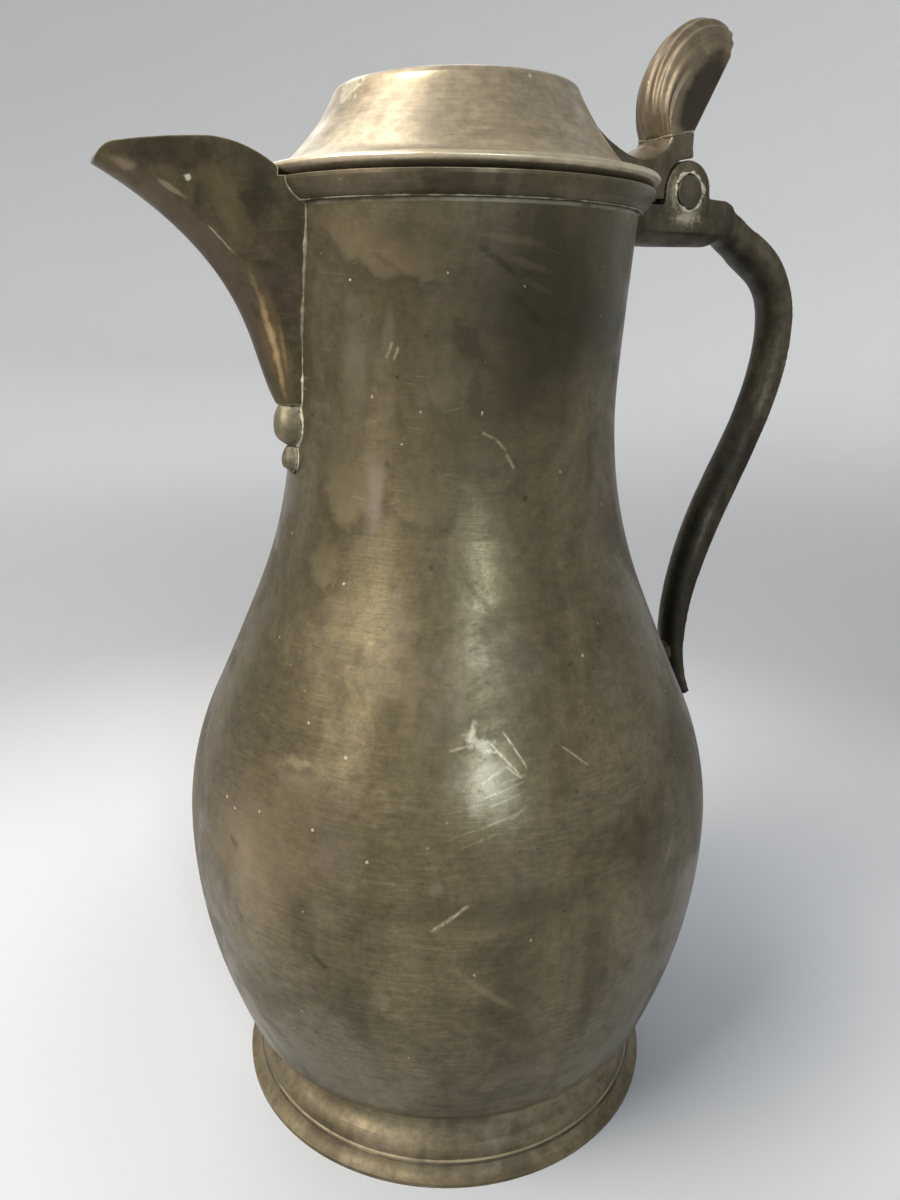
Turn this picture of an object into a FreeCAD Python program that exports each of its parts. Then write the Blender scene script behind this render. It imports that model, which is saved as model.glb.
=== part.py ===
import FreeCAD, Part
import math
import os

import Sketcher

# Pewter pitcher: pear-shaped body on a spread foot, beak spout, strap handle, hinged lid.
# The origin is on the body's axis, on the surface that the foot stands on. +Z is up and
# +X points to the handle. The spout points to -X, turned a little, as it was soldered on.

Vector = FreeCAD.Vector
doc = FreeCAD.newDocument("pewter_pitcher")
sheet = doc.addObject("Spreadsheet::Sheet", "Sizes")

# Driving dimensions, in millimetres and degrees. Pieces that sit together are placed from
# each other: the lid, hinge and handle from the mouth band, the spout from the neck.
driving_sizes = {
    "wall": 2.2,
    "lid_gap": 0.3,
    "pin_clearance": 0.05,
    # foot and base; a share runs from the body's seat, 0, to the edge of the foot, 1
    "foot_radius": 60.0,
    "foot_edge_height": 1.2,
    "foot_step_share": 0.6125,
    "foot_step_height": 4.4,
    "foot_step_depth": 0.7,
    "foot_swell_share": 0.325,
    "foot_swell_height": 9.0,
    "foot_swell_round": 5.0,
    "foot_waist_share": -0.075,
    "foot_waist_height": 14.2,
    "foot_cove_round": 7.5,
    "foot_height": 17.0,
    "foot_seat_radius": 52.0,
    "foot_rest_width": 3.0,
    "base_ledge": 2.0,
    "base_thickness": 2.0,
    "base_lip": 1.2,
    # body; shares run from the foot's seat or the neck, 0, to the belly, 1
    "heel_width_share": 0.2475,
    "heel_height_share": 0.0385,
    "bulb_width_share": 0.4554,
    "bulb_height_share": 0.1308,
    "low_belly_width_share": 0.6733,
    "low_belly_height_share": 0.3308,
    "belly_radius": 72.2,
    "belly_height": 82.0,
    "shoulder_width_share": 0.7488,
    "shoulder_height_share": 0.71,
    "throat_width_share": 0.3051,
    "throat_height_share": 0.4535,
    "low_neck_width_share": 0.0897,
    "low_neck_height_share": 0.28,
    "neck_radius": 41.55,
    "neck_height": 201.3,
    "mouth_radius": 44.1,
    "mouth_height": 239.0,
    # mouth band
    "band_ledge": 0.8,
    "band_width": 3.6,
    "band_rise": 4.7,
    "band_edge": 0.8,
    "band_bevel_round": 7.0,
    # spout; its widths are half widths, out is beyond the neck, a rise is above the mouth
    "spout_skew": 5.0,
    "spout_back_depth": 2.55,
    "spout_nose_round": 4.5,
    "spout_foot_height": 195.0,
    "spout_foot_out": 4.65,
    "spout_foot_half_width": 4.9,
    "spout_low_height_share": 0.25,
    "spout_low_out": 8.65,
    "spout_low_half_width": 7.6,
    "spout_mid_height_share": 0.5455,
    "spout_mid_out": 13.75,
    "spout_mid_half_width": 11.0,
    "spout_high_height_share": 0.8182,
    "spout_high_out": 22.65,
    "spout_high_half_width": 14.0,
    "spout_rim_rise": 1.5,
    "spout_rim_out": 34.05,
    "spout_rim_half_width": 15.4,
    "spout_top_rise": 13.5,
    "spout_top_out": 59.45,
    "spout_top_half_width": 15.8,
    "spout_wall_back": 1.75,
    "spout_wall_up": 1.6,
    "spout_wall_side": 1.9,
    "spout_edge_out": 5.35,
    "spout_edge_rise": 6.0,
    "spout_crest_out": 19.45,
    "spout_crest_rise": 11.6,
    "spout_crest_round": 22.8,
    "spout_brow_out": 37.35,
    "spout_brow_rise": 10.0,
    "spout_brow_round": 130.0,
    "spout_tip_out": 41.35,
    "spout_tip_rise": 6.4,
    "spout_tip_round": 5.0,
    "spout_hole_sill": 7.5,
    "spout_hole_bottom_half_width": 2.6,
    "spout_hole_head": 4.0,
    "spout_hole_top_half_width": 10.4,
    # drops under the spout
    "upper_drop_depth": 0.3,
    "upper_drop_radius": 4.8,
    "upper_drop_neck_radius": 3.4,
    "upper_drop_length": 10.0,
    "upper_drop_swell": 4.2,
    "lower_drop_depth": 0.5,
    "lower_drop_radius": 2.6,
    "lower_drop_neck_radius": 1.6,
    "lower_drop_length": 7.6,
    "lower_drop_swell": 2.4,
    # hinge, placed from the mouth band
    "pin_out": 20.9,
    "pin_rise": 3.8,
    "pin_radius": 4.2,
    "pin_proud": 0.6,
    "pin_round": 0.5,
    "hinge_width": 14.0,
    "ear_radius": 7.8,
    "ear_clearance": 0.5,
    "knuckle_width": 5.0,
    "knuckle_radius": 7.3,
    "knuckle_clearance": 0.3,
    # handle: a block at the hinge, then a strap of straight runs and tangent arcs
    "block_rise": 0.2,
    "block_end_side": 5.2,
    "block_thickness": 10.0,
    "block_side": 6.3,
    "block_back_out": 8.4,
    "block_back_rise": 2.5,
    "block_back_thickness": 11.9,
    "strap_out": 13.6,
    "strap_rise": 2.3,
    "strap_slope": 27.5,
    "strap_lead": 5.2,
    "strap_bend_radius": 27.6,
    "strap_bend_turn": 66.0,
    "strap_back_radius": 74.0,
    "strap_back_turn": 23.6,
    "strap_off_belly": 27.2,
    "strap_fall_end": 69.85,
    "strap_hollow_radius": 87.6,
    "strap_hollow_turn": 20.9,
    "strap_tail_radius": 37.9,
    "strap_tail_turn": 37.4,
    "strap_section_turn": 19.0,
    "lead_width": 13.8,
    "lead_thickness": 10.5,
    "lead_side": 4.6,
    "shank_width": 13.4,
    "shank_thickness": 7.3,
    "shank_side": 2.2,
    "run_width": 13.0,
    "run_thickness": 7.5,
    "run_side": 1.9,
    "bend_width": 12.2,
    "bend_thickness": 6.9,
    "bend_side": 1.4,
    "back_width": 12.0,
    "back_thickness": 6.9,
    "back_side": 1.4,
    "fall_width": 11.8,
    "fall_thickness": 7.2,
    "fall_side": 1.4,
    "hollow_width": 10.6,
    "hollow_thickness": 5.2,
    "hollow_side": 1.4,
    "tail_width": 9.4,
    "tail_thickness": 3.8,
    "tail_side": 1.4,
    "tip_width": 8.2,
    "tip_thickness": 3.2,
    "tip_side": 1.4,
    # strut between strap and belly
    "strut_rise": 30.5,
    "strut_half_height": 4.5,
    "strut_half_width": 3.0,
    "strut_round": 3.6,
    "strut_depth": 12.2,
    "strut_out": 10.0,
    # lid; a rise is above its underside
    "lid_overhang": 1.0,
    "lid_lip_undercut": 2.5,
    "lid_lip_slope": 1.3,
    "lid_lip_rise": 0.9,
    "lid_rim_rise": 2.0,
    "lid_rim_round": 1.4,
    "lid_rim_thickness": 3.0,
    "lid_ledge_in": 1.1,
    "lid_flare_in": 7.7,
    "lid_flare_rise": 4.5,
    "lid_flare_round": 12.0,
    "lid_cone_out": 8.5,
    "lid_cone_rise": 10.5,
    "lid_cone_round": 60.0,
    "lid_collar_out": 3.4,
    "lid_collar_drop": 4.1,
    "lid_collar_round": 48.0,
    "lid_shoulder_out": 2.1,
    "lid_shoulder_drop": 1.8,
    "lid_top_radius": 27.0,
    "lid_top_rise": 21.8,
    "lid_top_round": 2.4,
    "lid_dish": 0.8,
    "lid_step_depth": 1.8,
    "lid_step_clearance": 0.7,
    # hinge lug on the lid; in and out are from the pin, a rise is above the lid's underside
    "lug_start_in": 40.6,
    "lug_crest_in": 32.0,
    "lug_crest_rise": 17.0,
    "lug_valley_in": 15.4,
    "lug_valley_rise": 9.9,
    "lug_valley_round": 34.6,
    "lug_rise_in": 7.8,
    "lug_rise_rise": 14.4,
    "lug_rise_round": 9.4,
    "lug_back_out": 0.5,
    "lug_heel_in": 11.4,
    "lug_heel_angle": 184.0,
    "lug_notch": 1.0,
    "lug_back_angle": 84.0,
    "web_low_angle": 177.0,
    "web_back_angle": 97.0,
    "web_depth": 3.2,
    # thumbpiece, placed like the lug
    "thumb_foot_in": 7.0,
    "thumb_foot_rise": 16.45,
    "thumb_crown_lead": 0.5,
    "thumb_back_out": 0.4,
    "thumb_back_rise": 18.3,
    "thumb_tip_out": 9.5,
    "thumb_tip_rise": 36.5,
    "thumb_crown_tip_out": 12.9,
    "thumb_crown_tip_rise": 45.5,
    "thumb_border_bulge": 6.4,
    "thumb_crown_bulge": 12.2,
    "thumb_half_width": 6.8,
    "thumb_spread": 1.5,
    "rib_depth": 0.45,
}
rib_count = 8

for row, (name, number) in enumerate(driving_sizes.items(), start=1):
    sheet.set("A%d" % row, name)
    sheet.set("B%d" % row, str(number))
    sheet.setAlias("B%d" % row, name)
doc.recompute()


class Size:
    # A number worked out from the sheet: its value now, and the expression that keeps it bound.

    def __init__(self, value, text=None):
        self.value = float(value)
        self.text = text or repr(float(value))

    def joined(self, sign, other, value):
        return Size(value, "(%s %s %s)" % (self.text, sign, other.text))

    def __add__(self, other):
        return self.joined("+", sized(other), self.value + sized(other).value)

    def __sub__(self, other):
        return self.joined("-", sized(other), self.value - sized(other).value)

    def __mul__(self, other):
        return self.joined("*", sized(other), self.value * sized(other).value)

    def __truediv__(self, other):
        return self.joined("/", sized(other), self.value / sized(other).value)

    def __neg__(self):
        return Size(-self.value, "(0 - %s)" % self.text)


def sized(number):
    return number if isinstance(number, Size) else Size(number)


def size(name):
    return Size(sheet.get(name), "Sizes." + name)


def sine(angle):
    return Size(math.sin(math.radians(angle.value)), "sin(%s)" % angle.text)


def cosine(angle):
    return Size(math.cos(math.radians(angle.value)), "cos(%s)" % angle.text)


def blend(first, last, share):
    return first + (last - first) * share


def bind(target, name, number):
    # Ties one property to the sheet; a property without a text keeps its plain number.
    target.setExpression(name, number.text)


# Sketches: a sketch counts the places on an edge from one, and its own axes below zero

START, END, CENTRE = range(1, 4)
ORIGIN = ACROSS = -START
UPRIGHT = -END


def new_body(name):
    body = doc.addObject("PartDesign::Body", name)
    body.Label = name
    return body


def new_sketch(body, name, role):
    sketch = body.newObject("Sketcher::SketchObject", name)
    plane = [item for item in body.Origin.OriginFeatures if item.Role == role][0]
    sketch.AttachmentSupport = [(plane, "")]
    sketch.MapMode = "FlatFace"
    return sketch


def hold(sketch, kind, numbers, size_held):
    index = sketch.addConstraint(Sketcher.Constraint(kind, *numbers, size_held.value))
    bind(sketch, "Constraints[%d]" % index, size_held)


def hold_point(sketch, geometry, place, across=None, up=None):
    # Holds a point at a distance from the sketch's origin, or on an axis where that is zero.
    for kind, distance, axis in (("DistanceX", across, UPRIGHT), ("DistanceY", up, ACROSS)):
        if distance is None:
            continue
        if abs(distance.value) < 1e-9:
            sketch.addConstraint(Sketcher.Constraint("PointOnObject", geometry, place, axis))
        elif distance.value > 0:
            hold(sketch, kind, (ORIGIN, 1, geometry, place), distance)
        else:
            hold(sketch, kind, (geometry, place, ORIGIN, 1), -distance)


class Edge:
    # One edge of an outline, walked from its first point to its last.

    def __init__(self, first, last, centre=None, left=True):
        self.first = first
        self.last = last
        self.centre = centre
        self.left = left

    def add_to(self, sketch):
        if self.centre is None:
            self.index = sketch.addGeometry(Part.LineSegment(self.first, self.last))
            self.places = (START, END)
            return
        begin, finish = (self.first, self.last) if self.left else (self.last, self.first)
        angles = [math.atan2(p.y - self.centre.y, p.x - self.centre.x) for p in (begin, finish)]
        if angles[1] < angles[0]:
            angles[1] += 2 * math.pi
        circle = Part.Circle(self.centre, Vector(0, 0, 1), (self.first - self.centre).Length)
        self.index = sketch.addGeometry(Part.ArcOfCircle(circle, *angles))
        self.places = (START, END) if self.left else (END, START)

    def heading(self):
        # The direction in which the edge arrives at its last point
        if self.centre is None:
            along = self.last - self.first
        else:
            spoke = self.last - self.centre
            along = Vector(-spoke.y, spoke.x, 0) if self.left else Vector(spoke.y, -spoke.x, 0)
        return along.normalize()


def centre_by_heading(first, last, heading):
    # The centre of the arc that leaves one point along a heading and ends in another point
    side = Vector(-heading.y, heading.x, 0)
    chord = last - first
    reach = chord.dot(chord) / (2 * side.dot(chord))
    return first + side * reach, reach > 0


def centre_by_radius(first, last, radius, left):
    # The centre of the short arc of this radius between two points, turning left or right
    chord = last - first
    side = Vector(-chord.y, chord.x, 0).normalize()
    if not left:
        side = -side
    return first + chord * 0.5 + side * math.sqrt(max(radius ** 2 - chord.Length ** 2 / 4, 0))


def draw_outline(sketch, corners):
    # Draws a closed outline. Each corner is (x, y), with the kind of the edge that arrives
    # there: none for a line, ("left", radius), ("right", radius), "tangent" for an arc that
    # goes on smoothly from the edge before, or "level" for one that starts straight up or down.
    points = [Vector(corner[0].value, corner[1].value, 0) for corner in corners]
    edges = []
    for number in range(1, len(corners) + 1):
        corner = corners[number % len(corners)]
        first, last = points[number - 1], points[number % len(corners)]
        kind = corner[2] if len(corner) > 2 else None
        edge = Edge(first, last)
        if kind == "tangent":
            edge.centre, edge.left = centre_by_heading(first, last, edges[-1].heading())
        elif kind == "level":
            upward = Vector(0, 1 if last.y > first.y else -1, 0)
            edge.centre, edge.left = centre_by_heading(first, last, upward)
        elif kind:
            edge.left = kind[0] == "left"
            edge.centre = centre_by_radius(first, last, kind[1].value, edge.left)
        edge.kind = kind
        edge.corner = corner
        edge.add_to(sketch)
        edges.append(edge)
    for edge, following in zip(edges, edges[1:] + edges[:1]):
        ends = (edge.index, edge.places[1], following.index, following.places[0])
        kind = "Tangent" if following.kind == "tangent" else "Coincident"
        sketch.addConstraint(Sketcher.Constraint(kind, *ends))
        hold_point(sketch, edge.index, edge.places[1], edge.corner[0], edge.corner[1])
    for edge, before in zip(edges, edges[-1:] + edges[:-1]):
        if edge.kind == "level":
            hold_point(sketch, edge.index, CENTRE, up=before.corner[1])
        elif edge.kind and edge.kind != "tangent":
            hold(sketch, "Radius", (edge.index,), edge.kind[1])
    return edges


def draw_circle(sketch, across, up, radius):
    centre = Vector(across.value, up.value, 0)
    index = sketch.addGeometry(Part.Circle(centre, Vector(0, 0, 1), radius.value))
    hold_point(sketch, index, CENTRE, across, up)
    hold(sketch, "Radius", (index,), radius)


# Features

def revolve(body, sketch):
    feature = body.newObject("PartDesign::Revolution", body.Label + "_turned")
    feature.Profile = sketch
    feature.ReferenceAxis = (sketch, ["V_Axis"])
    feature.Angle = 360
    return feature


def pad(body, sketch, length):
    feature = body.newObject("PartDesign::Pad", sketch.Name + "_pad")
    feature.Profile = sketch
    feature.SideType = "Symmetric"
    bind(feature, "Length", length)
    return feature


def pocket(body, sketch, length):
    feature = body.newObject("PartDesign::Pocket", sketch.Name + "_cut")
    feature.Profile = sketch
    feature.SideType = "Symmetric"
    bind(feature, "Length", length)
    return feature


def loft(body, sketches, name, ruled=False, cut=False):
    kind = "PartDesign::SubtractiveLoft" if cut else "PartDesign::AdditiveLoft"
    feature = body.newObject(kind, name)
    feature.Profile = sketches[0]
    feature.Sections = sketches[1:]
    feature.Ruled = ruled
    return feature


def turned_body(name, corners):
    body = new_body(name)
    draw_outline(new_sketch(body, name + "_outline", "XZ_Plane"), corners)
    revolve(body, body.Group[0])
    return body


def cut_from(base, tools, name):
    # What is left of a piece where others stand; one tool stays itself, more are joined first.
    tool = tools[0]
    if len(tools) > 1:
        tool = doc.addObject("Part::MultiFuse", name + "_seat")
        tool.Shapes = tools
    cut = doc.addObject("Part::Cut", name + "_cut")
    cut.Base = base
    cut.Tool = tool
    cut.Label = name
    return cut


def face_the_spout(part, reach=None):
    # Turns a piece from +X to the spout's side, and moves it out to its reach there.
    turn = Size(180) - size("spout_skew")
    part.Placement = FreeCAD.Placement(Vector(0, 0, 0), FreeCAD.Rotation(Vector(0, 0, 1), turn.value))
    bind(part, "Placement.Rotation.Angle", turn)
    if reach is not None:
        bind(part, "Placement.Base.x", reach * cosine(turn))
        bind(part, "Placement.Base.y", reach * sine(turn))


# Body of the pitcher: turned from levels that tangent arcs join, smooth from foot to mouth

def level_between(name, near, far):
    # A level whose radius and height are shares of the way from one level to another
    return tuple(blend(near[number], far[number], size("%s_%s_share" % (name, kind)))
                 for number, kind in enumerate(("width", "height")))


seat_level = (size("foot_seat_radius"), size("foot_height"))
belly_level = (size("belly_radius"), size("belly_height"))
neck_level = (size("neck_radius"), size("neck_height"))
lower_levels = [belly_level]
lower_levels += [level_between(name, seat_level, belly_level)
                 for name in ("low_belly", "bulb", "heel")]
lower_levels.append(seat_level)
upper_levels = [belly_level]
upper_levels += [level_between(name, neck_level, belly_level)
                 for name in ("shoulder", "throat", "low_neck")]
upper_levels += [neck_level, (size("mouth_radius"), size("mouth_height"))]
band_top = size("mouth_height") + size("band_rise")


def radius_at(height):
    # The body's radius at a height, on the line between the levels below and above it
    below, above = [pair for pair in zip(upper_levels, upper_levels[1:])
                    if pair[0][1].value < height.value][-1]
    return blend(below[0], above[0], (height - below[1]) / (above[1] - below[1]))


def draw_wall(sketch, levels, thickness, opening=None):
    # A wall of even thickness under a chain of tangent arcs. It starts level at the belly and
    # ends level, or, where an opening is given, flat below and straight up at the opening.
    points = [Vector(radius.value, height.value, 0) for radius, height in levels]
    turn = 1 if points[1].y > points[0].y else -1
    headings = [Vector(0, turn, 0)]
    outer = []
    for first, last in zip(points, points[1:]):
        edge = Edge(first, last)
        edge.centre, edge.left = centre_by_heading(first, last, headings[-1])
        headings.append(edge.heading())
        outer.append(edge)
    inside = [point + Vector(-heading.y, heading.x, 0) * turn * thickness.value
              for point, heading in zip(points, headings)]
    centre = outer[-1].centre
    radius = (inside[-1] - centre).Length
    if opening is None:
        rise = points[-1].y - centre.y
        run = math.sqrt(radius ** 2 - rise ** 2)
        across = min(centre.x + run, centre.x - run, key=lambda x: abs(x - inside[-1].x))
        inside[-1] = Vector(across, points[-1].y, 0)
        rim = [Edge(points[-1], inside[-1])]
    else:
        run = opening.value - centre.x
        rise = math.sqrt(radius ** 2 - run ** 2)
        up = min(centre.y + rise, centre.y - rise, key=lambda y: abs(y - inside[-1].y))
        inside[-1] = Vector(opening.value, up, 0)
        corner = Vector(opening.value, points[-1].y, 0)
        rim = [Edge(points[-1], corner), Edge(corner, inside[-1])]
    inner = [Edge(inside[number + 1], inside[number], edge.centre, not edge.left)
             for number, edge in reversed(list(enumerate(outer)))]
    seam = [Edge(inside[0], points[0])]
    edges = outer + rim + inner + seam
    for edge in edges:
        edge.add_to(sketch)
    for edge, following in zip(edges, edges[1:] + edges[:1]):
        smooth = edge in outer[:-1] or edge in inner[:-1]
        ends = (edge.index, edge.places[1], following.index, following.places[0])
        sketch.addConstraint(Sketcher.Constraint("Tangent" if smooth else "Coincident", *ends))
    for edge, backing in zip(outer, reversed(inner)):
        sketch.addConstraint(
            Sketcher.Constraint("Coincident", edge.index, CENTRE, backing.index, CENTRE))
    for edge, (level_radius, level_height) in zip(outer, levels[1:]):
        hold_point(sketch, edge.index, edge.places[1], level_radius, level_height)
    belly_radius, belly_height = levels[0]
    hold_point(sketch, outer[0].index, outer[0].places[0], belly_radius, belly_height)
    hold_point(sketch, outer[0].index, CENTRE, up=belly_height)
    hold_point(sketch, inner[-1].index, inner[-1].places[1], belly_radius - thickness, belly_height)
    for edge in rim:
        hold_point(sketch, edge.index, edge.places[1],
                   opening, levels[-1][1] if edge is rim[0] else None)


def walled_body(name, levels, opening=None):
    body = new_body(name)
    sketch = new_sketch(body, name + "_outline", "XZ_Plane")
    draw_wall(sketch, levels, size("wall"), opening)
    revolve(body, sketch)
    return body


base_radius = size("foot_seat_radius") - size("base_ledge")
body_opening = base_radius - size("base_lip")
lower_body = walled_body("lower_body", lower_levels, body_opening)
upper_shell = walled_body("upper_shell", upper_levels)

band_radius = size("mouth_radius") + size("band_width")
band_corners = [
    (size("mouth_radius") + size("band_ledge"), size("mouth_height")),
    (band_radius, band_top - size("band_edge"), ("left", size("band_bevel_round"))),
    (band_radius, band_top),
]
band_bore = size("mouth_radius") - size("wall")
mouth_band = turned_body(
    "mouth_band",
    [(band_bore, size("mouth_height"))] + band_corners + [(band_bore, band_top)],
)

# What stands outside the neck and band is cut to their outer faces with this solid core
chain_kinds = ["level"] + ["tangent"] * (len(upper_levels) - 2)
neck_core = turned_body(
    "neck_core",
    [(Size(0), size("belly_height")), upper_levels[0]]
    + [(radius, height, kind) for (radius, height), kind in zip(upper_levels[1:], chain_kinds)]
    + band_corners
    + [(Size(0), band_top)],
)

# Foot ring and the plate that closes the body inside it
foot_seat = size("foot_height") - size("base_thickness")
foot_step, foot_swell, foot_waist = [
    blend(size("foot_seat_radius"), size("foot_radius"), size("foot_%s_share" % name))
    for name in ("step", "swell", "waist")
]
foot_ring = turned_body("foot_ring", [
    (size("foot_radius") - size("foot_rest_width"), Size(0)),
    (size("foot_radius"), Size(0)),
    (size("foot_radius"), size("foot_edge_height")),
    (foot_step, size("foot_step_height"), ("right", size("foot_swell_round"))),
    (foot_step - size("foot_step_depth"), size("foot_step_height") + size("foot_step_depth")),
    (foot_swell, size("foot_swell_height"), ("left", size("foot_swell_round"))),
    (foot_waist, size("foot_waist_height"), ("right", size("foot_cove_round"))),
    seat_level,
    (base_radius, size("foot_height")),
    (base_radius, foot_seat),
    (body_opening, foot_seat),
    (body_opening, foot_seat - size("wall")),
    (foot_swell - size("wall"), size("foot_step_height")),
])
base_plate = turned_body("base_plate", [
    (Size(0), foot_seat),
    (base_radius, foot_seat),
    (base_radius, size("foot_height")),
    (Size(0), size("foot_height")),
])

# Lid: a hollow flared shell with a low step that drops into the mouth
lid_base = band_top + size("lid_gap")
lid_rim = band_radius + size("lid_overhang")
lid_cone = size("lid_top_radius") + size("lid_cone_out")
lid_shoulder = size("lid_top_radius") + size("lid_shoulder_out")
lid_top = lid_base + size("lid_top_rise")
lid_top_corners = [
    (lid_rim - size("lid_lip_undercut"), lid_base),
    (lid_rim - size("lid_lip_slope"), lid_base + size("lid_lip_rise")),
    (lid_rim, lid_base + size("lid_rim_rise"), ("left", size("lid_rim_round"))),
    (lid_rim - size("lid_ledge_in"), lid_base + size("lid_rim_thickness"),
     ("left", size("lid_rim_round"))),
    (lid_rim - size("lid_flare_in"), lid_base + size("lid_flare_rise"),
     ("right", size("lid_flare_round"))),
    (lid_cone, lid_base + size("lid_cone_rise"), ("right", size("lid_cone_round"))),
    (size("lid_top_radius") + size("lid_collar_out"), lid_top - size("lid_collar_drop"),
     ("right", size("lid_collar_round"))),
    (lid_shoulder, lid_top - size("lid_shoulder_drop")),
    (size("lid_top_radius"), lid_top, ("left", size("lid_top_round"))),
    (Size(0), lid_top - size("lid_dish")),
]
step_radius = band_bore - size("lid_step_clearance")
wall = size("wall")
lid_roof = lid_top - size("lid_dish") - wall
lid_shell = turned_body("lid_shell", lid_top_corners + [
    (Size(0), lid_roof),
    (lid_shoulder - wall, lid_roof),
    (lid_cone - wall, lid_base + size("lid_cone_rise") - wall,
     ("left", size("lid_collar_round"))),
    (step_radius - wall, lid_base + size("lid_rim_thickness") - wall / 2,
     ("left", size("lid_collar_round"))),
    (step_radius - wall, lid_base - size("lid_step_depth")),
    (step_radius, lid_base - size("lid_step_depth")),
    (step_radius, lid_base),
])
lid_core = turned_body("lid_core", [(Size(0), lid_base)] + lid_top_corners)
lid_sweep = doc.addObject("Part::Cylinder", "lid_sweep")
bind(lid_sweep, "Radius", lid_rim + size("lid_gap") + size("pin_clearance"))
bind(lid_sweep, "Height", size("lid_top_rise"))
bind(lid_sweep, "Placement.Base.z", band_top)

# Spout: an open beak, lofted through level sections with a round nose
spout_foot = size("spout_foot_height")
spout_back = size("neck_radius") - size("spout_back_depth")
spout_heights = {"foot": spout_foot}
for name in ("low", "mid", "high"):
    share = size("spout_%s_height_share" % name)
    spout_heights[name] = blend(spout_foot, size("mouth_height"), share)


def spout_point(name):
    # A point of the spout's upper half: how far it is out of the neck and above the mouth
    return (size("neck_radius") + size("spout_%s_out" % name),
            size("mouth_height") + size("spout_%s_rise" % name))


for name in ("rim", "top"):
    spout_heights[name] = spout_point(name)[1]


def nose_section(body, name, height, reach, half_width, nose_round):
    # A level section: a straight back, two straight sides and the round nose between them
    sketch = new_sketch(body, name, "XY_Plane")
    bind(sketch, "AttachmentOffset.Base.z", height)
    centre = Vector((reach - nose_round).value, 0, 0)
    corner = Vector(spout_back.value, -half_width.value, 0)
    span = centre - corner
    turn = math.asin(nose_round.value / span.Length)
    aim = math.atan2(span.y, span.x) - turn
    length = math.sqrt(span.Length ** 2 - nose_round.value ** 2)
    touch = corner + Vector(math.cos(aim), math.sin(aim), 0) * length
    mirrored = [Vector(point.x, -point.y, 0) for point in (corner, touch)]
    edges = [Edge(mirrored[0], corner), Edge(corner, touch),
             Edge(touch, mirrored[1], centre, True), Edge(mirrored[1], mirrored[0])]
    for edge in edges:
        edge.add_to(sketch)
    kinds = ["Coincident", "Tangent", "Tangent", "Coincident"]
    for edge, following, kind in zip(edges, edges[1:] + edges[:1], kinds):
        ends = (edge.index, edge.places[1], following.index, following.places[0])
        sketch.addConstraint(Sketcher.Constraint(kind, *ends))
    for edge, sign in ((edges[0], -1), (edges[3], 1)):
        hold_point(sketch, edge.index, edge.places[1], spout_back, half_width * sign)
    hold_point(sketch, edges[2].index, CENTRE, reach - nose_round, Size(0))
    hold(sketch, "Radius", (edges[2].index,), nose_round)
    return sketch


def spout_sections(body, prefix, back=Size(0), up=Size(0), side=Size(0)):
    return [
        nose_section(
            body, prefix + name,
            height + up,
            size("neck_radius") + size("spout_%s_out" % name) - back,
            size("spout_%s_half_width" % name) - side,
            size("spout_nose_round") - side,
        )
        for name, height in spout_heights.items()
    ]


spout_body = new_body("spout_body")
loft(spout_body, spout_sections(spout_body, "outside_"), "spout_outside")
loft(
    spout_body,
    spout_sections(spout_body, "inside_", size("spout_wall_back"), size("spout_wall_up"),
                   size("spout_wall_side")),
    "spout_channel", cut=True,
)
spout_far = size("neck_radius") + size("spout_top_out") + size("wall")
spout_roof = spout_heights["top"] + size("spout_wall_up") + size("wall")
rim_sketch = new_sketch(spout_body, "spout_rim", "XZ_Plane")
spout_edge, spout_crest, spout_brow, spout_tip = [
    spout_point(name) for name in ("edge", "crest", "brow", "tip")
]
draw_outline(rim_sketch, [
    (spout_back - size("wall"), spout_edge[1]),
    spout_edge,
    spout_crest + (("right", size("spout_crest_round")),),
    spout_brow + (("right", size("spout_brow_round")),),
    spout_tip + (("right", size("spout_tip_round")),),
    (spout_tip[0], spout_heights["high"]),
    (spout_far, spout_heights["high"]),
    (spout_far, spout_roof),
    (spout_back - size("wall"), spout_roof),
])
pocket(spout_body, rim_sketch, size("spout_top_half_width") * 4)
face_the_spout(spout_body)
spout = cut_from(spout_body, [neck_core, lid_sweep], "spout")

# Way from the neck into the spout, a keyhole under the band
hole_body = new_body("spout_hole")
hole_sketch = new_sketch(hole_body, "hole_outline", "YZ_Plane")
low_half, top_half = size("spout_hole_bottom_half_width"), size("spout_hole_top_half_width")
hole_sill = spout_foot + size("spout_hole_sill")
hole_head = size("mouth_height") - size("spout_hole_head")
draw_outline(hole_sketch, [
    (-low_half, hole_sill),
    (low_half, hole_sill),
    (top_half, hole_head - low_half),
    (top_half - low_half, hole_head, ("left", low_half)),
    (low_half - top_half, hole_head),
    (-top_half, hole_head - low_half, ("left", low_half)),
])
hole_pad = pad(hole_body, hole_sketch, spout_tip[0])
hole_pad.SideType = "One side"
face_the_spout(hole_body)
upper_body = cut_from(upper_shell, [hole_body], "upper_body")


# Two drops below the spout, turned, and cut to the neck
def drop_body(name, top, length, neck, radius, swell, pointed):
    foot = top - length
    corners = [(Size(0), foot)]
    if not pointed:
        corners.append((neck / 2, foot))
    corners += [(radius, foot + swell, ("right", length)) if pointed
                else (radius, foot + swell, ("left", length / 2)),
                (neck, top, ("left", length)),
                (Size(0), top)]
    return turned_body(name, corners)


drop_top = spout_foot
drops = []
for place, pointed in (("upper", False), ("lower", True)):
    prefix = place + "_drop_"
    length = size(prefix + "length")
    drop = drop_body(
        prefix + "body", drop_top, length, size(prefix + "neck_radius"),
        size(prefix + "radius"), size(prefix + "swell"), pointed,
    )
    face_the_spout(drop, radius_at(drop_top - length / 2) - size(prefix + "depth"))
    drops.append(cut_from(drop, [neck_core], "spout_%s_drop" % place))
    drop_top = drop_top - length

# Handle: block and strap lofted through D-shaped sections, flat outside and full inside
handle_body = new_body("handle_body")


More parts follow.
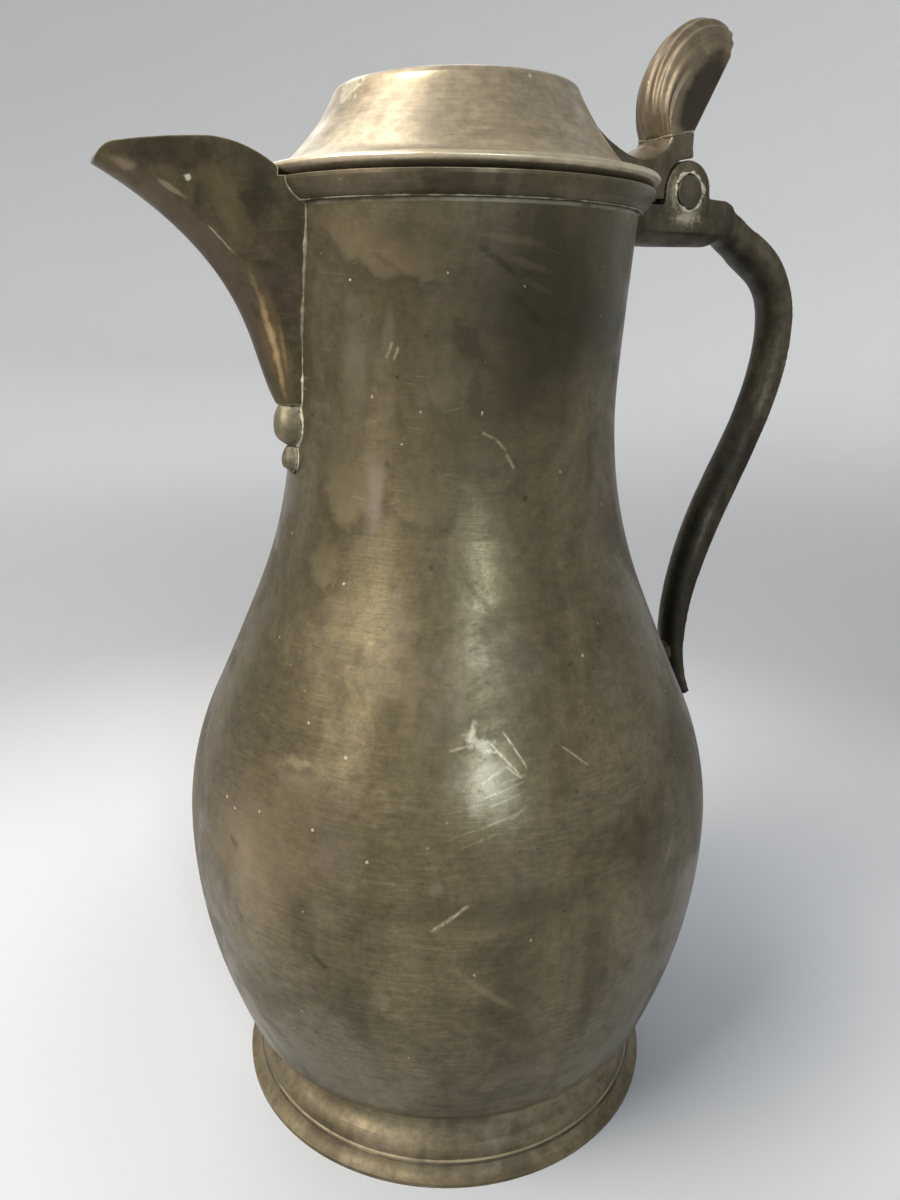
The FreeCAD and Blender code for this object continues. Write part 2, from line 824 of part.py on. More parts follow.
def strap_section(name, across, up, slope, width, thickness, side):
    # The section's flat side is at (across, up); the strap runs down at the slope from there.
    sketch = new_sketch(handle_body, name, "YZ_Plane")
    sketch.AttachmentOffset = FreeCAD.Placement(
        Vector(0, up.value, across.value), FreeCAD.Rotation(Vector(1, 0, 0), 180 + slope.value))
    bind(sketch, "AttachmentOffset.Base.y", up)
    bind(sketch, "AttachmentOffset.Base.z", across)
    bind(sketch, "AttachmentOffset.Rotation.Angle", slope + 180)
    half = width / 2
    crown = thickness - side
    crown_round = (half * half + crown * crown) / (crown * 2)
    draw_outline(sketch, [
        (-half, Size(0)),
        (half, Size(0)),
        (half, side),
        (-half, side, ("left", crown_round)),
    ])
    return sketch


class Route:
    # The strap's outer line: straight runs and tangent arcs, followed from the hinge block.

    def __init__(self, across, up, slope):
        self.across, self.up, self.slope = across, up, slope

    def run(self, length):
        self.across = self.across + length * cosine(self.slope)
        self.up = self.up - length * sine(self.slope)

    def bend(self, radius, turn, down=True):
        half_turn = turn / 2 if down else -(turn / 2)
        self.slope = self.slope + half_turn
        self.run(radius * 2 * sine(turn / 2))
        self.slope = self.slope + half_turn

    def section(self, name, shape):
        return strap_section(name, self.across, self.up, self.slope, *shape)


def strap_shape(name):
    return [size("%s_%s" % (name, kind)) for kind in ("width", "thickness", "side")]


pin_across, pin_up = band_radius + size("pin_out"), band_top + size("pin_rise")
strap_start = (pin_across + size("strap_out"), band_top + size("strap_rise"))
block_top = band_top + size("block_rise")
level = Size(0)
block_sections = [
    strap_section("block_start", size("neck_radius") - size("wall"), block_top, level,
                  size("hinge_width"), size("block_thickness"), size("block_side")),
    strap_section("block_mid", pin_across - size("ear_radius"), block_top, level,
                  size("hinge_width"), size("block_thickness"), size("block_side")),
    strap_section("block_back", pin_across + size("block_back_out"),
                  band_top + size("block_back_rise"), level,
                  size("hinge_width"), size("block_back_thickness"), size("block_side")),
    strap_section("block_end", *strap_start, size("strap_slope") / 2, size("hinge_width"),
                  size("block_back_thickness"), size("block_end_side")),
]
route = Route(*strap_start, size("strap_slope"))
route.run(size("strap_lead"))
strap_sections = [route.section("strap_lead_section", strap_shape("lead"))]
block_sections.append(strap_sections[0])

# The run before the bend and the fall after it are as long as it takes to come down beside
# the belly: a route with neither shows how far both together still have to reach.
strut_middle = size("belly_height") + size("strut_rise")
fall_end = size("belly_height") + size("strap_fall_end")
trial = Route(route.across, route.up, route.slope)
trial.bend(size("strap_bend_radius"), size("strap_bend_turn"))
trial.bend(size("strap_back_radius"), size("strap_back_turn"))
left_across = radius_at(strut_middle) + size("strap_off_belly") - trial.across
left_down = trial.up - fall_end
turned = sine(trial.slope - route.slope)
run = (left_across * sine(trial.slope) - left_down * cosine(trial.slope)) / turned
fall = (left_down * cosine(route.slope) - left_across * sine(route.slope)) / turned

for name in ("shank", "run"):
    route.run(run / 2)
    strap_sections.append(route.section("strap_%s_section" % name, strap_shape(name)))
before = "run"
for name, last, down in (("bend", "bend", True), ("back", "back", True), ("fall", "fall", True),
                         ("hollow", "hollow", False), ("tail", "tip", False)):
    if name == "fall":
        route.run(fall)
        strap_sections.append(route.section("strap_fall_end", strap_shape(name)))
    else:
        turn = size("strap_%s_turn" % name)
        count = math.ceil(turn.value / size("strap_section_turn").value)
        for number in range(1, count + 1):
            route.bend(size("strap_%s_radius" % name), turn / count, down)
            after = strap_shape(last if number == count else name)
            shape = [blend(first, final, number / count)
                     for first, final in zip(strap_shape(before), after)]
            strap_sections.append(route.section("strap_%s_%d" % (name, number), shape))
    before = name
loft(handle_body, strap_sections, "strap")
loft(handle_body, block_sections, "hinge_block", ruled=True)

# Two ears that hold the pin, with the slot for the lid's knuckle between them
ear_sketch = new_sketch(handle_body, "ears", "XZ_Plane")
draw_circle(ear_sketch, pin_across, pin_up, size("ear_radius"))
pad(handle_body, ear_sketch, size("hinge_width"))
skirt_sketch = new_sketch(handle_body, "ear_skirt", "XZ_Plane")
ear_left, ear_right = pin_across - size("ear_radius"), pin_across + size("ear_radius")
ear_foot = pin_up - size("ear_radius")
draw_outline(skirt_sketch, [
    (ear_left, ear_foot),
    (ear_right, ear_foot),
    (ear_right, band_top + size("block_back_rise")),
    (ear_right, pin_up),
    (ear_left, pin_up),
])
pad(handle_body, skirt_sketch, size("hinge_width"))
slot_width = size("knuckle_width") + size("knuckle_clearance") * 2
slot_radius = size("knuckle_radius") + size("knuckle_clearance") * 2
slot_sketch = new_sketch(handle_body, "knuckle_slot", "XZ_Plane")
draw_circle(slot_sketch, pin_across, pin_up, slot_radius)
pocket(handle_body, slot_sketch, slot_width)
slot_roof = pin_up + size("ear_radius") + size("wall")
mouth_sketch = new_sketch(handle_body, "slot_mouth", "XZ_Plane")
draw_outline(mouth_sketch, [
    (ear_left - size("wall"), block_top),
    (ear_right, block_top),
    (ear_right, slot_roof),
    (ear_left - size("wall"), slot_roof),
])
pocket(handle_body, mouth_sketch, slot_width)
bore_sketch = new_sketch(handle_body, "pin_bore", "XZ_Plane")
draw_circle(bore_sketch, pin_across, pin_up, size("pin_radius"))
pocket(handle_body, bore_sketch, size("hinge_width") * 2)
handle = cut_from(handle_body, [neck_core, lid_sweep], "handle")

# Short strut that ties the strap's lower end to the belly
strut_body = new_body("strut_body")
strut_sketch = new_sketch(strut_body, "strut_outline", "YZ_Plane")
half_wide, half_tall = size("strut_half_width"), size("strut_half_height")
strut_low, strut_high = strut_middle - half_tall, strut_middle + half_tall
strut_end_arc = ("left", size("strut_round"))
draw_outline(strut_sketch, [
    (-half_wide, strut_low + half_wide),
    (half_wide, strut_low + half_wide, strut_end_arc),
    (half_wide, strut_high - half_wide),
    (-half_wide, strut_high - half_wide, strut_end_arc),
])
bind(strut_sketch, "AttachmentOffset.Base.z", size("belly_radius") - size("strut_depth"))
strut_pad = pad(strut_body, strut_sketch, size("strut_depth") + size("strut_out"))
strut_pad.SideType = "One side"
strut_at_belly = cut_from(strut_body, [neck_core], "strut_at_belly")
handle_strut = cut_from(strut_at_belly, [handle], "handle_strut")

# Hinge pin, fixed in the ears, its two ends a little proud and rounded
pin_body = new_body("hinge_pin")
pin_sketch = new_sketch(pin_body, "pin_outline", "XZ_Plane")
draw_circle(pin_sketch, pin_across, pin_up, size("pin_radius"))
pin_pad = pad(pin_body, pin_sketch, size("hinge_width") + size("pin_proud") * 2)
doc.recompute()
rims = ["Edge%d" % number for number, edge in enumerate(pin_pad.Shape.Edges, start=1)
        if isinstance(edge.Curve, Part.Circle)]
pin_round = pin_body.newObject("PartDesign::Fillet", "pin_round")
pin_round.Base = (pin_pad, rims)
bind(pin_round, "Radius", size("pin_round"))

# Lug soldered on the lid's flank: it clears the ears, and its knuckle turns on the pin
lug_body = new_body("lug_body")


def round_pin(radius, angle):
    return pin_across + radius * cosine(angle), pin_up + radius * sine(angle)


def above_lid(name):
    return lid_base + size(name + "_rise")


thumb_foot = (pin_across - size("thumb_foot_in"), above_lid("thumb_foot"))
thumb_back = (pin_across + size("thumb_back_out"), above_lid("thumb_back"))
lug_round = size("ear_radius") + size("ear_clearance")
lug_floor = block_top + size("lid_gap")
lug_start, lug_heel = pin_across - size("lug_start_in"), pin_across - size("lug_heel_in")
lug_sketch = new_sketch(lug_body, "lug_outline", "XZ_Plane")
heel_across, heel_up = round_pin(lug_round, size("lug_heel_angle"))
draw_outline(lug_sketch, [
    (lug_start, above_lid("lug_crest")),
    (pin_across - size("lug_crest_in"), above_lid("lug_crest")),
    (pin_across - size("lug_valley_in"), above_lid("lug_valley"),
     ("left", size("lug_valley_round"))),
    (pin_across - size("lug_rise_in"), above_lid("lug_rise"), ("left", size("lug_rise_round"))),
    thumb_foot,
    thumb_back,
    (pin_across + size("lug_back_out"), above_lid("lug_rise")),
    round_pin(lug_round, size("lug_back_angle")),
    (heel_across, heel_up, ("left", lug_round)),
    (heel_across, lug_floor + size("lug_notch")),
    (lug_heel, lug_floor + size("lug_notch")),
    (lug_heel, lug_floor),
    (lug_start, lug_floor),
])
pad(lug_body, lug_sketch, size("hinge_width"))
knuckle_sketch = new_sketch(lug_body, "knuckle", "XZ_Plane")
draw_circle(knuckle_sketch, pin_across, pin_up, size("knuckle_radius"))
pad(lug_body, knuckle_sketch, size("knuckle_width"))
web_sketch = new_sketch(lug_body, "knuckle_web", "XZ_Plane")
web_round = lug_round + size("pin_clearance")
web_far = lug_round + size("web_depth")
web_turn = (size("web_low_angle") - size("web_back_angle")) / 3
draw_outline(web_sketch, [
    (pin_across, pin_up),
    round_pin(web_round, size("web_back_angle")),
    round_pin(web_far, size("web_back_angle") + web_turn),
    round_pin(web_far, size("web_low_angle") - web_turn),
    round_pin(web_round, size("web_low_angle")),
])
pad(lug_body, web_sketch, size("knuckle_width"))
knuckle_bore = new_sketch(lug_body, "knuckle_bore", "XZ_Plane")
draw_circle(knuckle_bore, pin_across, pin_up, size("pin_radius") + size("pin_clearance"))
pocket(lug_body, knuckle_bore, size("hinge_width") * 2)
lid_hinge_lug = cut_from(lug_body, [lid_core], "lid_hinge_lug")


# Thumbpiece: half a scallop shell standing on the lug, ribbed on its round side

def millimetres(name):
    return size(name).value


def point_at(place):
    across, up = place
    return Vector(across.value, 0, up.value)


def bulged(first, last, along, bulge):
    # A point beside the line between two points, on its outer side
    line = last - first
    outward = Vector(-line.z, 0, line.x).normalize()
    return first + line * along + outward * bulge


def thumb_shape():
    border_foot, back_foot = point_at(thumb_foot), point_at(thumb_back)
    tip, crown_tip = [
        point_at((pin_across + size(name + "_out"), above_lid(name)))
        for name in ("thumb_tip", "thumb_crown_tip")
    ]
    foot_line = (border_foot - back_foot).normalize()
    crown_foot = border_foot + foot_line * millimetres("thumb_crown_lead")
    back_line = tip - back_foot

    def half_width(point):
        share = (point - back_foot).dot(back_line) / back_line.dot(back_line)
        return millimetres("thumb_half_width") + millimetres("thumb_spread") * share

    def sideways(point, sign):
        return point + Vector(0, sign * half_width(point), 0)

    rows, columns_a_rib = 13, 8
    lean, fullness = 0.9, 0.75
    grid = []
    for row in range(rows):
        share = row / (rows - 1)
        inside = 0 < row < rows - 1
        swell = math.sin(math.pi * share ** lean) ** fullness if inside else 0
        border = bulged(border_foot, tip, share, millimetres("thumb_border_bulge") * swell)
        arch = math.pi * share
        crown = bulged(crown_foot, crown_tip, (1 - math.cos(arch)) / 2,
                       millimetres("thumb_crown_bulge") * math.sin(arch))
        half = half_width(border)
        line = []
        for column in range(rib_count * columns_a_rib + 1):
            phase = column / columns_a_rib
            angle = math.pi * (phase / rib_count - 0.5)
            groove = (1 - math.cos(2 * math.pi * phase)) / 2
            scale = 1 - groove * millimetres("rib_depth") / half
            point = border + (crown - border) * (math.cos(angle) * scale)
            line.append(point + Vector(0, half * math.sin(angle) * scale, 0))
        grid.append(line)
    shell = Part.BSplineSurface()
    shell.interpolate(grid)
    shell_face = shell.toShape()
    foot_curve, tip_curve = [
        min(shell_face.Edges, key=lambda edge: (edge.CenterOfMass - middle).Length)
        for middle in (grid[0][len(grid[0]) // 2], grid[-1][len(grid[0]) // 2])
    ]
    faces = [shell_face]
    back_ends, tip_ends = [], []
    for sign in (-1, 1):
        side_curve = min(shell_face.Edges, key=lambda edge: -sign * edge.CenterOfMass.y)
        back_end, tip_end = sideways(back_foot, sign), sideways(tip, sign)
        back_ends.append(back_end)
        tip_ends.append(tip_end)
        foot_side = Part.makeLine(sideways(border_foot, sign), back_end)
        faces.append(Part.Face(Part.Wire(Part.__sortEdges__(
            [side_curve, foot_side, Part.makeLine(back_end, tip_end)]))))
    foot_edges = [Part.makeLine(sideways(border_foot, sign), end)
                  for sign, end in zip((-1, 1), back_ends)]
    back_edge, tip_edge = Part.makeLine(*back_ends), Part.makeLine(*tip_ends)
    faces.append(Part.Face(Part.Wire(Part.__sortEdges__([foot_curve, back_edge] + foot_edges))))
    faces.append(Part.Face(Part.Wire(Part.__sortEdges__([tip_curve, tip_edge]))))
    faces.append(Part.Face(Part.makePolygon(
        [back_ends[0], back_ends[1], tip_ends[1], tip_ends[0], back_ends[0]])))
    joined = Part.makeShell(faces)
    joined.sewShape()
    solid = Part.Solid(Part.Shell(joined.Faces))
    if solid.Volume < 0:
        solid.reverse()
    return solid


thumbpiece = doc.addObject("Part::Feature", "thumbpiece")
thumbpiece.Shape = thumb_shape()
thumbpiece.Placement = FreeCAD.Placement()
thumbpiece.Label = "thumbpiece"

doc.recompute()

# Every object is sound before anything is written
for item in doc.Objects:
    faults = [state for state in item.State if state in ("Invalid", "Error")]
    if faults:
        raise RuntimeError("%s is %s" % (item.Label, faults))

pieces = [foot_ring, base_plate, lower_body, upper_body, mouth_band, spout] + drops
pieces += [handle, handle_strut, pin_body, lid_shell, lid_hinge_lug, thumbpiece]
os.makedirs("parts", exist_ok=True)
for piece in pieces:
    shape = piece.Shape
    if shape.isNull() or not shape.isValid() or len(shape.Solids) != 1:
        raise RuntimeError("%s is not one sound solid" % piece.Label)
    print("%-18s %9.1f mm3" % (piece.Label, shape.Volume))
for piece in pieces:
    piece.Shape.exportStep("parts/%s.step" % piece.Label)
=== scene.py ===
import bpy
import bmesh
import math
import random
from mathutils import Matrix, Vector, noise
from mathutils.bvhtree import BVHTree


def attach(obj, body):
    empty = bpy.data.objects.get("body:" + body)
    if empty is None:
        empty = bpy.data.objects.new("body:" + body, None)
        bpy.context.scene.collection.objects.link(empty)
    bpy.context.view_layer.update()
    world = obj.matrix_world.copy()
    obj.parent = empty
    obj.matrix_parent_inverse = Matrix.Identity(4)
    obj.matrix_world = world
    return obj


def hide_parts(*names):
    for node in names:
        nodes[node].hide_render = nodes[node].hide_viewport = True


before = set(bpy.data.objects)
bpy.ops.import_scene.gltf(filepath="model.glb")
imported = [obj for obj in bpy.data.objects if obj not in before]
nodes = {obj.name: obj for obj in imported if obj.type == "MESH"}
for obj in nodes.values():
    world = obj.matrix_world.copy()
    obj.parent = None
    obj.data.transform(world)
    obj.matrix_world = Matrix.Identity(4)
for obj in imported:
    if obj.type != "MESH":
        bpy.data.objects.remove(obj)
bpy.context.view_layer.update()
mm = 0.001


# Small helpers for sums with sizes in millimetres

def smooth(value, low, high):
    share = min(max((value - low) / (high - low), 0.0), 1.0)
    return share * share * (3 - 2 * share)


def ripple(point, size, seed):  # a smooth random height between -1 and 1, for a place in millimetres
    return noise.noise(Vector(point) / size + Vector((seed, seed * 2.3, seed * 3.1)))


def azimuthOf(point):
    return math.degrees(math.atan2(point.y, point.x))


# Shader building

class Bench:  # puts nodes in one tree and wires them up
    def __init__(self, tree):
        self.tree = tree

    def feed(self, socket, value):
        if isinstance(value, bpy.types.NodeSocket):
            self.tree.links.new(value, socket)
        elif value is not None:
            socket.default_value = value

    def put(self, kind, *feeds, **looks):
        node = self.tree.nodes.new("ShaderNode" + kind)
        for name, value in looks.items():
            setattr(node, name, value)
        for place, value in enumerate(feeds):
            self.feed(node.inputs[place], value)
        return node

    def maths(self, operation, *feeds, clamp=False):
        return self.put("Math", *feeds, operation=operation, use_clamp=clamp).outputs[0]

    def vector(self, operation, *feeds):
        node = self.put("VectorMath", *feeds, operation=operation)
        return node.outputs["Value" if operation in ("DOT_PRODUCT", "LENGTH") else "Vector"]

    def ramp(self, value, low, high, first=0.0, last=1.0):
        return self.put("MapRange", value, low, high, first, last, interpolation_type="SMOOTHSTEP").outputs[0]

    def mix(self, share, first, second):
        node = self.put("Mix", data_type="RGBA")
        for place, value in ((0, share), (6, first), (7, second)):
            self.feed(node.inputs[place], value)
        return node.outputs[2]

    def place(self):  # where a surface point lies, in millimetres
        spot = self.put("TexCoord").outputs["Object"]
        return self.vector("MULTIPLY", spot, (1 / mm, 1 / mm, 1 / mm))

    def grain(self, spot, scale, detail=3.0, roughness=0.55, distortion=0.0):
        node = self.put("TexNoise", spot, noise_dimensions="3D")
        for title, value in (("Scale", scale), ("Detail", detail), ("Roughness", roughness),
                             ("Distortion", distortion)):
            self.feed(node.inputs[title], value)
        return node.outputs[0]

    def group(self, tree, **feeds):
        node = self.tree.nodes.new("ShaderNodeGroup")
        node.node_tree = tree
        for name, value in feeds.items():
            self.feed(node.inputs[name], value)
        return node


def newGroup(name, inputs, outputs):
    tree = bpy.data.node_groups.new(name, "ShaderNodeTree")
    for title, value in inputs.items():
        kind = "NodeSocketVector" if isinstance(value, tuple) else "NodeSocketFloat"
        tree.interface.new_socket(title, in_out="INPUT", socket_type=kind).default_value = value
    for title in outputs:
        tree.interface.new_socket(title, in_out="OUTPUT", socket_type="NodeSocketFloat")
    start = tree.nodes.new("NodeGroupInput")
    end = tree.nodes.new("NodeGroupOutput")
    return tree, Bench(tree), start.outputs, end.inputs


def buildSurfacePlace():  # a flat map in millimetres round one point of a turned wall
    tree, bench, given, result = newGroup(
        "surfacePlace", {"Azimuth": 0.0, "Height": 0.0, "Shift": 0.0, "Tilt": 0.0, "Out From": 0.0},
        ("Along", "Across", "Facing"))
    parts = bench.put("SeparateXYZ", bench.place()).outputs
    angle = bench.maths("RADIANS", given["Azimuth"])
    tilt = bench.maths("RADIANS", given["Tilt"])
    sine, cosine = bench.maths("SINE", angle), bench.maths("COSINE", angle)
    tiltSine, tiltCosine = bench.maths("SINE", tilt), bench.maths("COSINE", tilt)
    round_ = bench.maths("SUBTRACT", bench.maths("MULTIPLY", parts[1], cosine),
                         bench.maths("MULTIPLY", parts[0], sine))
    round_ = bench.maths("SUBTRACT", round_, given["Shift"])
    out = bench.maths("ADD", bench.maths("MULTIPLY", parts[0], cosine),
                      bench.maths("MULTIPLY", parts[1], sine))
    up = bench.maths("SUBTRACT", parts[2], given["Height"])
    bench.feed(result["Along"], bench.maths("ADD", bench.maths("MULTIPLY", round_, tiltCosine),
                                            bench.maths("MULTIPLY", up, tiltSine)))
    bench.feed(result["Across"], bench.maths("SUBTRACT", bench.maths("MULTIPLY", up, tiltCosine),
                                             bench.maths("MULTIPLY", round_, tiltSine)))
    bench.feed(result["Facing"], bench.maths("GREATER_THAN", out, given["Out From"]))
    return tree


placeNames = ("Azimuth", "Height", "Shift", "Tilt", "Out From")


def buildSoftPatch(surfacePlace):  # a ragged oval patch of colour, used for stains and also for painted highlight and painted shade
    tree, bench, given, result = newGroup(
        "softPatch", {"Azimuth": 0.0, "Height": 0.0, "Shift": 0.0, "Tilt": 0.0, "Out From": 0.0,
                      "Half Length": 5.0, "Half Width": 5.0, "Softness": 0.6, "Raggedness": 0.6, "Grain": 0.25, "Fade": 0.0}, ("Mask", "Rim"))
    spot = bench.group(surfacePlace, **{name: given[name] for name in placeNames}).outputs
    along = bench.maths("DIVIDE", spot["Along"], given["Half Length"])
    across = bench.maths("DIVIDE", spot["Across"], given["Half Width"])
    far = bench.maths("SQRT", bench.maths("ADD", bench.maths("MULTIPLY", along, along),
                                          bench.maths("MULTIPLY", across, across)))
    ragged = bench.maths("SUBTRACT", bench.grain(bench.place(), given["Grain"], 4.0), 0.5)
    far = bench.maths("MULTIPLY_ADD", ragged, given["Raggedness"], far)
    inner = bench.maths("SUBTRACT", 1.0, given["Softness"])
    mask = bench.put("MapRange", far, inner, 1.0, 1.0, 0.0, interpolation_type="SMOOTHSTEP").outputs[0]
    fading = bench.maths("MULTIPLY", bench.ramp(across, -0.7, 0.8), given["Fade"])
    mask = bench.maths("MULTIPLY", mask, bench.maths("SUBTRACT", 1.0, fading))
    bench.feed(result["Mask"], bench.maths("MULTIPLY", mask, spot["Facing"]))
    rim = bench.maths("MULTIPLY", bench.ramp(far, 0.86, 1.02), bench.ramp(far, 1.04, 1.4, 1.0, 0.0))
    rim = bench.maths("MULTIPLY", rim, bench.ramp(across, -0.5, 0.1, 1.0, 0.0))
    bench.feed(result["Rim"], bench.maths("MULTIPLY", rim, spot["Facing"]))
    return tree


def buildScratchMark(surfacePlace):  # one straight scratch with broken edges
    tree, bench, given, result = newGroup(
        "scratchMark", {"Azimuth": 0.0, "Height": 0.0, "Shift": 0.0, "Tilt": 0.0, "Out From": 0.0,
                        "Length": 8.0, "Width": 0.4, "Strength": 1.0}, ("Mask",))
    spot = bench.group(surfacePlace, **{name: given[name] for name in placeNames}).outputs
    wander = bench.maths("SUBTRACT", bench.grain(bench.place(), 0.5, 2.0), 0.5)
    across = bench.maths("ABSOLUTE", bench.maths("MULTIPLY_ADD", wander, given["Width"], spot["Across"]))
    along = bench.maths("ABSOLUTE", spot["Along"])
    half = bench.maths("MULTIPLY", given["Length"], 0.5)
    fade = bench.maths("MULTIPLY", half, 0.6)
    ends = bench.put("MapRange", along, fade, half, 1.0, 0.0, interpolation_type="SMOOTHSTEP").outputs[0]
    sides = bench.put("MapRange", across, 0.0, given["Width"], 1.0, 0.0,
                      interpolation_type="SMOOTHSTEP").outputs[0]
    worn = bench.maths("MULTIPLY", bench.ramp(bench.grain(bench.place(), 0.9, 3.0), 0.3, 0.6, 0.3, 1.0),
                       given["Strength"])
    mask = bench.maths("MULTIPLY", bench.maths("MULTIPLY", ends, sides), worn)
    bench.feed(result["Mask"], bench.maths("MULTIPLY", mask, spot["Facing"]))
    return tree


def buildTarnishClouds():  # blotches that can be drawn out up or round the piece
    tree, bench, given, result = newGroup(
        "tarnishClouds", {"Stretch": (1.0, 1.0, 1.0), "Scale": 0.05, "Detail": 4.0, "Twist": 0.5,
                          "Low": 0.4, "High": 0.6}, ("Mask",))
    spot = bench.vector("MULTIPLY", bench.place(), given["Stretch"])
    field = bench.grain(spot, given["Scale"], given["Detail"], 0.6, given["Twist"])
    mask = bench.put("MapRange", field, given["Low"], given["High"], 0.0, 1.0,
                     interpolation_type="SMOOTHSTEP").outputs[0]
    bench.feed(result["Mask"], mask)
    return tree


def buildTurnedLines():  # fine lines left by turning and by polishing cloths, round the axis
    tree, bench, given, result = newGroup(
        "turnedLines", {"Spacing": 0.8, "Length": 12.0, "Slope": 0.0, "Clear Above": 400.0},
        ("Height", "Mask", "Tone"))
    parts = bench.put("SeparateXYZ", bench.place()).outputs
    short = bench.maths("DIVIDE", 1.0, given["Length"])
    level = bench.maths("MULTIPLY_ADD", parts[0], given["Slope"], parts[2])
    level = bench.maths("DIVIDE", level, given["Spacing"])
    spot = bench.put("CombineXYZ", bench.maths("MULTIPLY", parts[0], short),
                     bench.maths("MULTIPLY", parts[1], short), level).outputs[0]
    field = bench.grain(spot, 1.0, 4.0, 0.7, 0.3)
    bench.feed(result["Height"], bench.maths("SUBTRACT", field, 0.5))
    bench.feed(result["Mask"], bench.ramp(field, 0.52, 0.72))
    gate = bench.ramp(bench.grain(bench.place(), 0.03, 3.0), 0.4, 0.58, 0.3, 1.0)
    above = bench.maths("SUBTRACT", bench.put("SeparateXYZ", bench.place()).outputs[2], given["Clear Above"])
    gate = bench.maths("MULTIPLY", gate, bench.ramp(above, -12.0, 18.0, 1.0, 0.22))
    bench.feed(result["Tone"], bench.maths("MULTIPLY", bench.maths("SUBTRACT", field, 0.5), gate))
    return tree


def buildFineScratches():  # short straight hair scratches, all leaning one way
    tree, bench, given, result = newGroup(
        "fineScratches", {"Facing": 120.0, "Lean": 30.0, "Length": 9.0, "Width": 0.5, "Low": 0.7}, ("Mask",))
    turned = bench.put("VectorRotate", rotation_type="Z_AXIS")
    bench.feed(turned.inputs["Vector"], bench.place())
    bench.feed(turned.inputs["Angle"], bench.maths("RADIANS", given["Facing"]))
    leaned = bench.put("VectorRotate", rotation_type="X_AXIS")
    bench.feed(leaned.inputs["Vector"], turned.outputs[0])
    bench.feed(leaned.inputs["Angle"], bench.maths("RADIANS", given["Lean"]))
    parts = bench.put("SeparateXYZ", leaned.outputs[0]).outputs
    spot = bench.put("CombineXYZ", bench.maths("DIVIDE", parts[0], given["Length"]),
                     bench.maths("DIVIDE", parts[1], given["Length"]),
                     bench.maths("DIVIDE", parts[2], given["Width"])).outputs[0]
    field = bench.grain(spot, 1.0, 1.0, 0.5, 0.0)
    high = bench.maths("ADD", given["Low"], 0.06)
    line = bench.put("MapRange", field, given["Low"], high, 0.0, 1.0, interpolation_type="SMOOTHSTEP").outputs[0]
    gate = bench.ramp(bench.grain(bench.place(), 0.05, 4.0), 0.42, 0.6)
    bench.feed(result["Mask"], bench.maths("MULTIPLY", line, gate))
    return tree


def buildPaleSpecks():  # small bright pits and spatters of many sizes
    tree, bench, given, result = newGroup(
        "paleSpecks", {"Spacing": 6.0, "Size": 0.12, "Share": 0.35}, ("Mask",))
    cells = bench.put("TexVoronoi", bench.place(), feature="F1")
    bench.feed(cells.inputs["Scale"], bench.maths("DIVIDE", 1.0, given["Spacing"]))
    chance = bench.put("SeparateColor", cells.outputs["Color"]).outputs
    size = bench.maths("MULTIPLY", chance[1], given["Size"])
    near = bench.maths("MULTIPLY", size, 0.4)
    uneven = bench.maths("SUBTRACT", bench.grain(bench.place(), 1.8, 2.0), 0.5)
    reach = bench.maths("MULTIPLY_ADD", bench.maths("MULTIPLY", uneven, given["Size"]), 1.6,
                        cells.outputs["Distance"])
    dot = bench.put("MapRange", reach, near, size, 1.0, 0.0, interpolation_type="SMOOTHSTEP").outputs[0]
    bench.feed(result["Mask"], bench.maths("MULTIPLY", dot, bench.maths("LESS_THAN", chance[0], given["Share"])))
    return tree


def buildRingBand():  # a ring of colour at one height, broken up along its run: used for worn and stained rings and also for painted shade and painted highlight
    tree, bench, given, result = newGroup(
        "ringBand", {"Height": 0.0, "Half Width": 0.5, "Inner Radius": 0.0, "Brokenness": 0.5, "Grain": 0.12},
        ("Mask",))
    parts = bench.put("SeparateXYZ", bench.place()).outputs
    radius = bench.maths("SQRT", bench.maths("ADD", bench.maths("MULTIPLY", parts[0], parts[0]),
                                             bench.maths("MULTIPLY", parts[1], parts[1])))
    away = bench.maths("ABSOLUTE", bench.maths("SUBTRACT", parts[2], given["Height"]))
    band = bench.put("MapRange", away, bench.maths("MULTIPLY", given["Half Width"], 0.4), given["Half Width"],
                     1.0, 0.0, interpolation_type="SMOOTHSTEP").outputs[0]
    outside = bench.maths("GREATER_THAN", radius, given["Inner Radius"])
    patchy = bench.ramp(bench.grain(bench.place(), given["Grain"], 4.0), 0.38, 0.62)
    whole = bench.maths("SUBTRACT", 1.0, given["Brokenness"])
    patchy = bench.maths("MULTIPLY_ADD", patchy, given["Brokenness"], whole)
    bench.feed(result["Mask"], bench.maths("MULTIPLY", bench.maths("MULTIPLY", band, outside), patchy))
    return tree


def buildEdgeWear():  # metal rubbed bright along its edges
    tree, bench, given, result = newGroup("edgeWear", {"Radius": 0.6, "Low": 0.02, "High": 0.16}, ("Mask",))
    soft = bench.put("Bevel", bench.maths("MULTIPLY", given["Radius"], mm), samples=6).outputs[0]
    true = bench.put("NewGeometry").outputs["Normal"]
    turn = bench.maths("SUBTRACT", 1.0, bench.vector("DOT_PRODUCT", soft, true))
    mask = bench.put("MapRange", turn, given["Low"], given["High"], 0.0, 1.0,
                     interpolation_type="SMOOTHSTEP").outputs[0]
    broken = bench.ramp(bench.grain(bench.place(), 0.5, 3.0), 0.25, 0.6, 0.45, 1.0)
    bench.feed(result["Mask"], bench.maths("MULTIPLY", mask, broken))
    return tree


def buildCreviceDirt():  # what a cloth never reaches
    tree, bench, given, result = newGroup("creviceDirt", {"Reach": 1.5, "Low": 0.55, "High": 0.9}, ("Mask",))
    occlusion = bench.put("AmbientOcclusion", samples=6)
    bench.feed(occlusion.inputs["Distance"], bench.maths("MULTIPLY", given["Reach"], mm))
    closed = bench.put("MapRange", occlusion.outputs["AO"], given["Low"], given["High"], 1.0, 0.0,
                       interpolation_type="SMOOTHSTEP").outputs[0]
    bench.feed(result["Mask"], closed)
    return tree


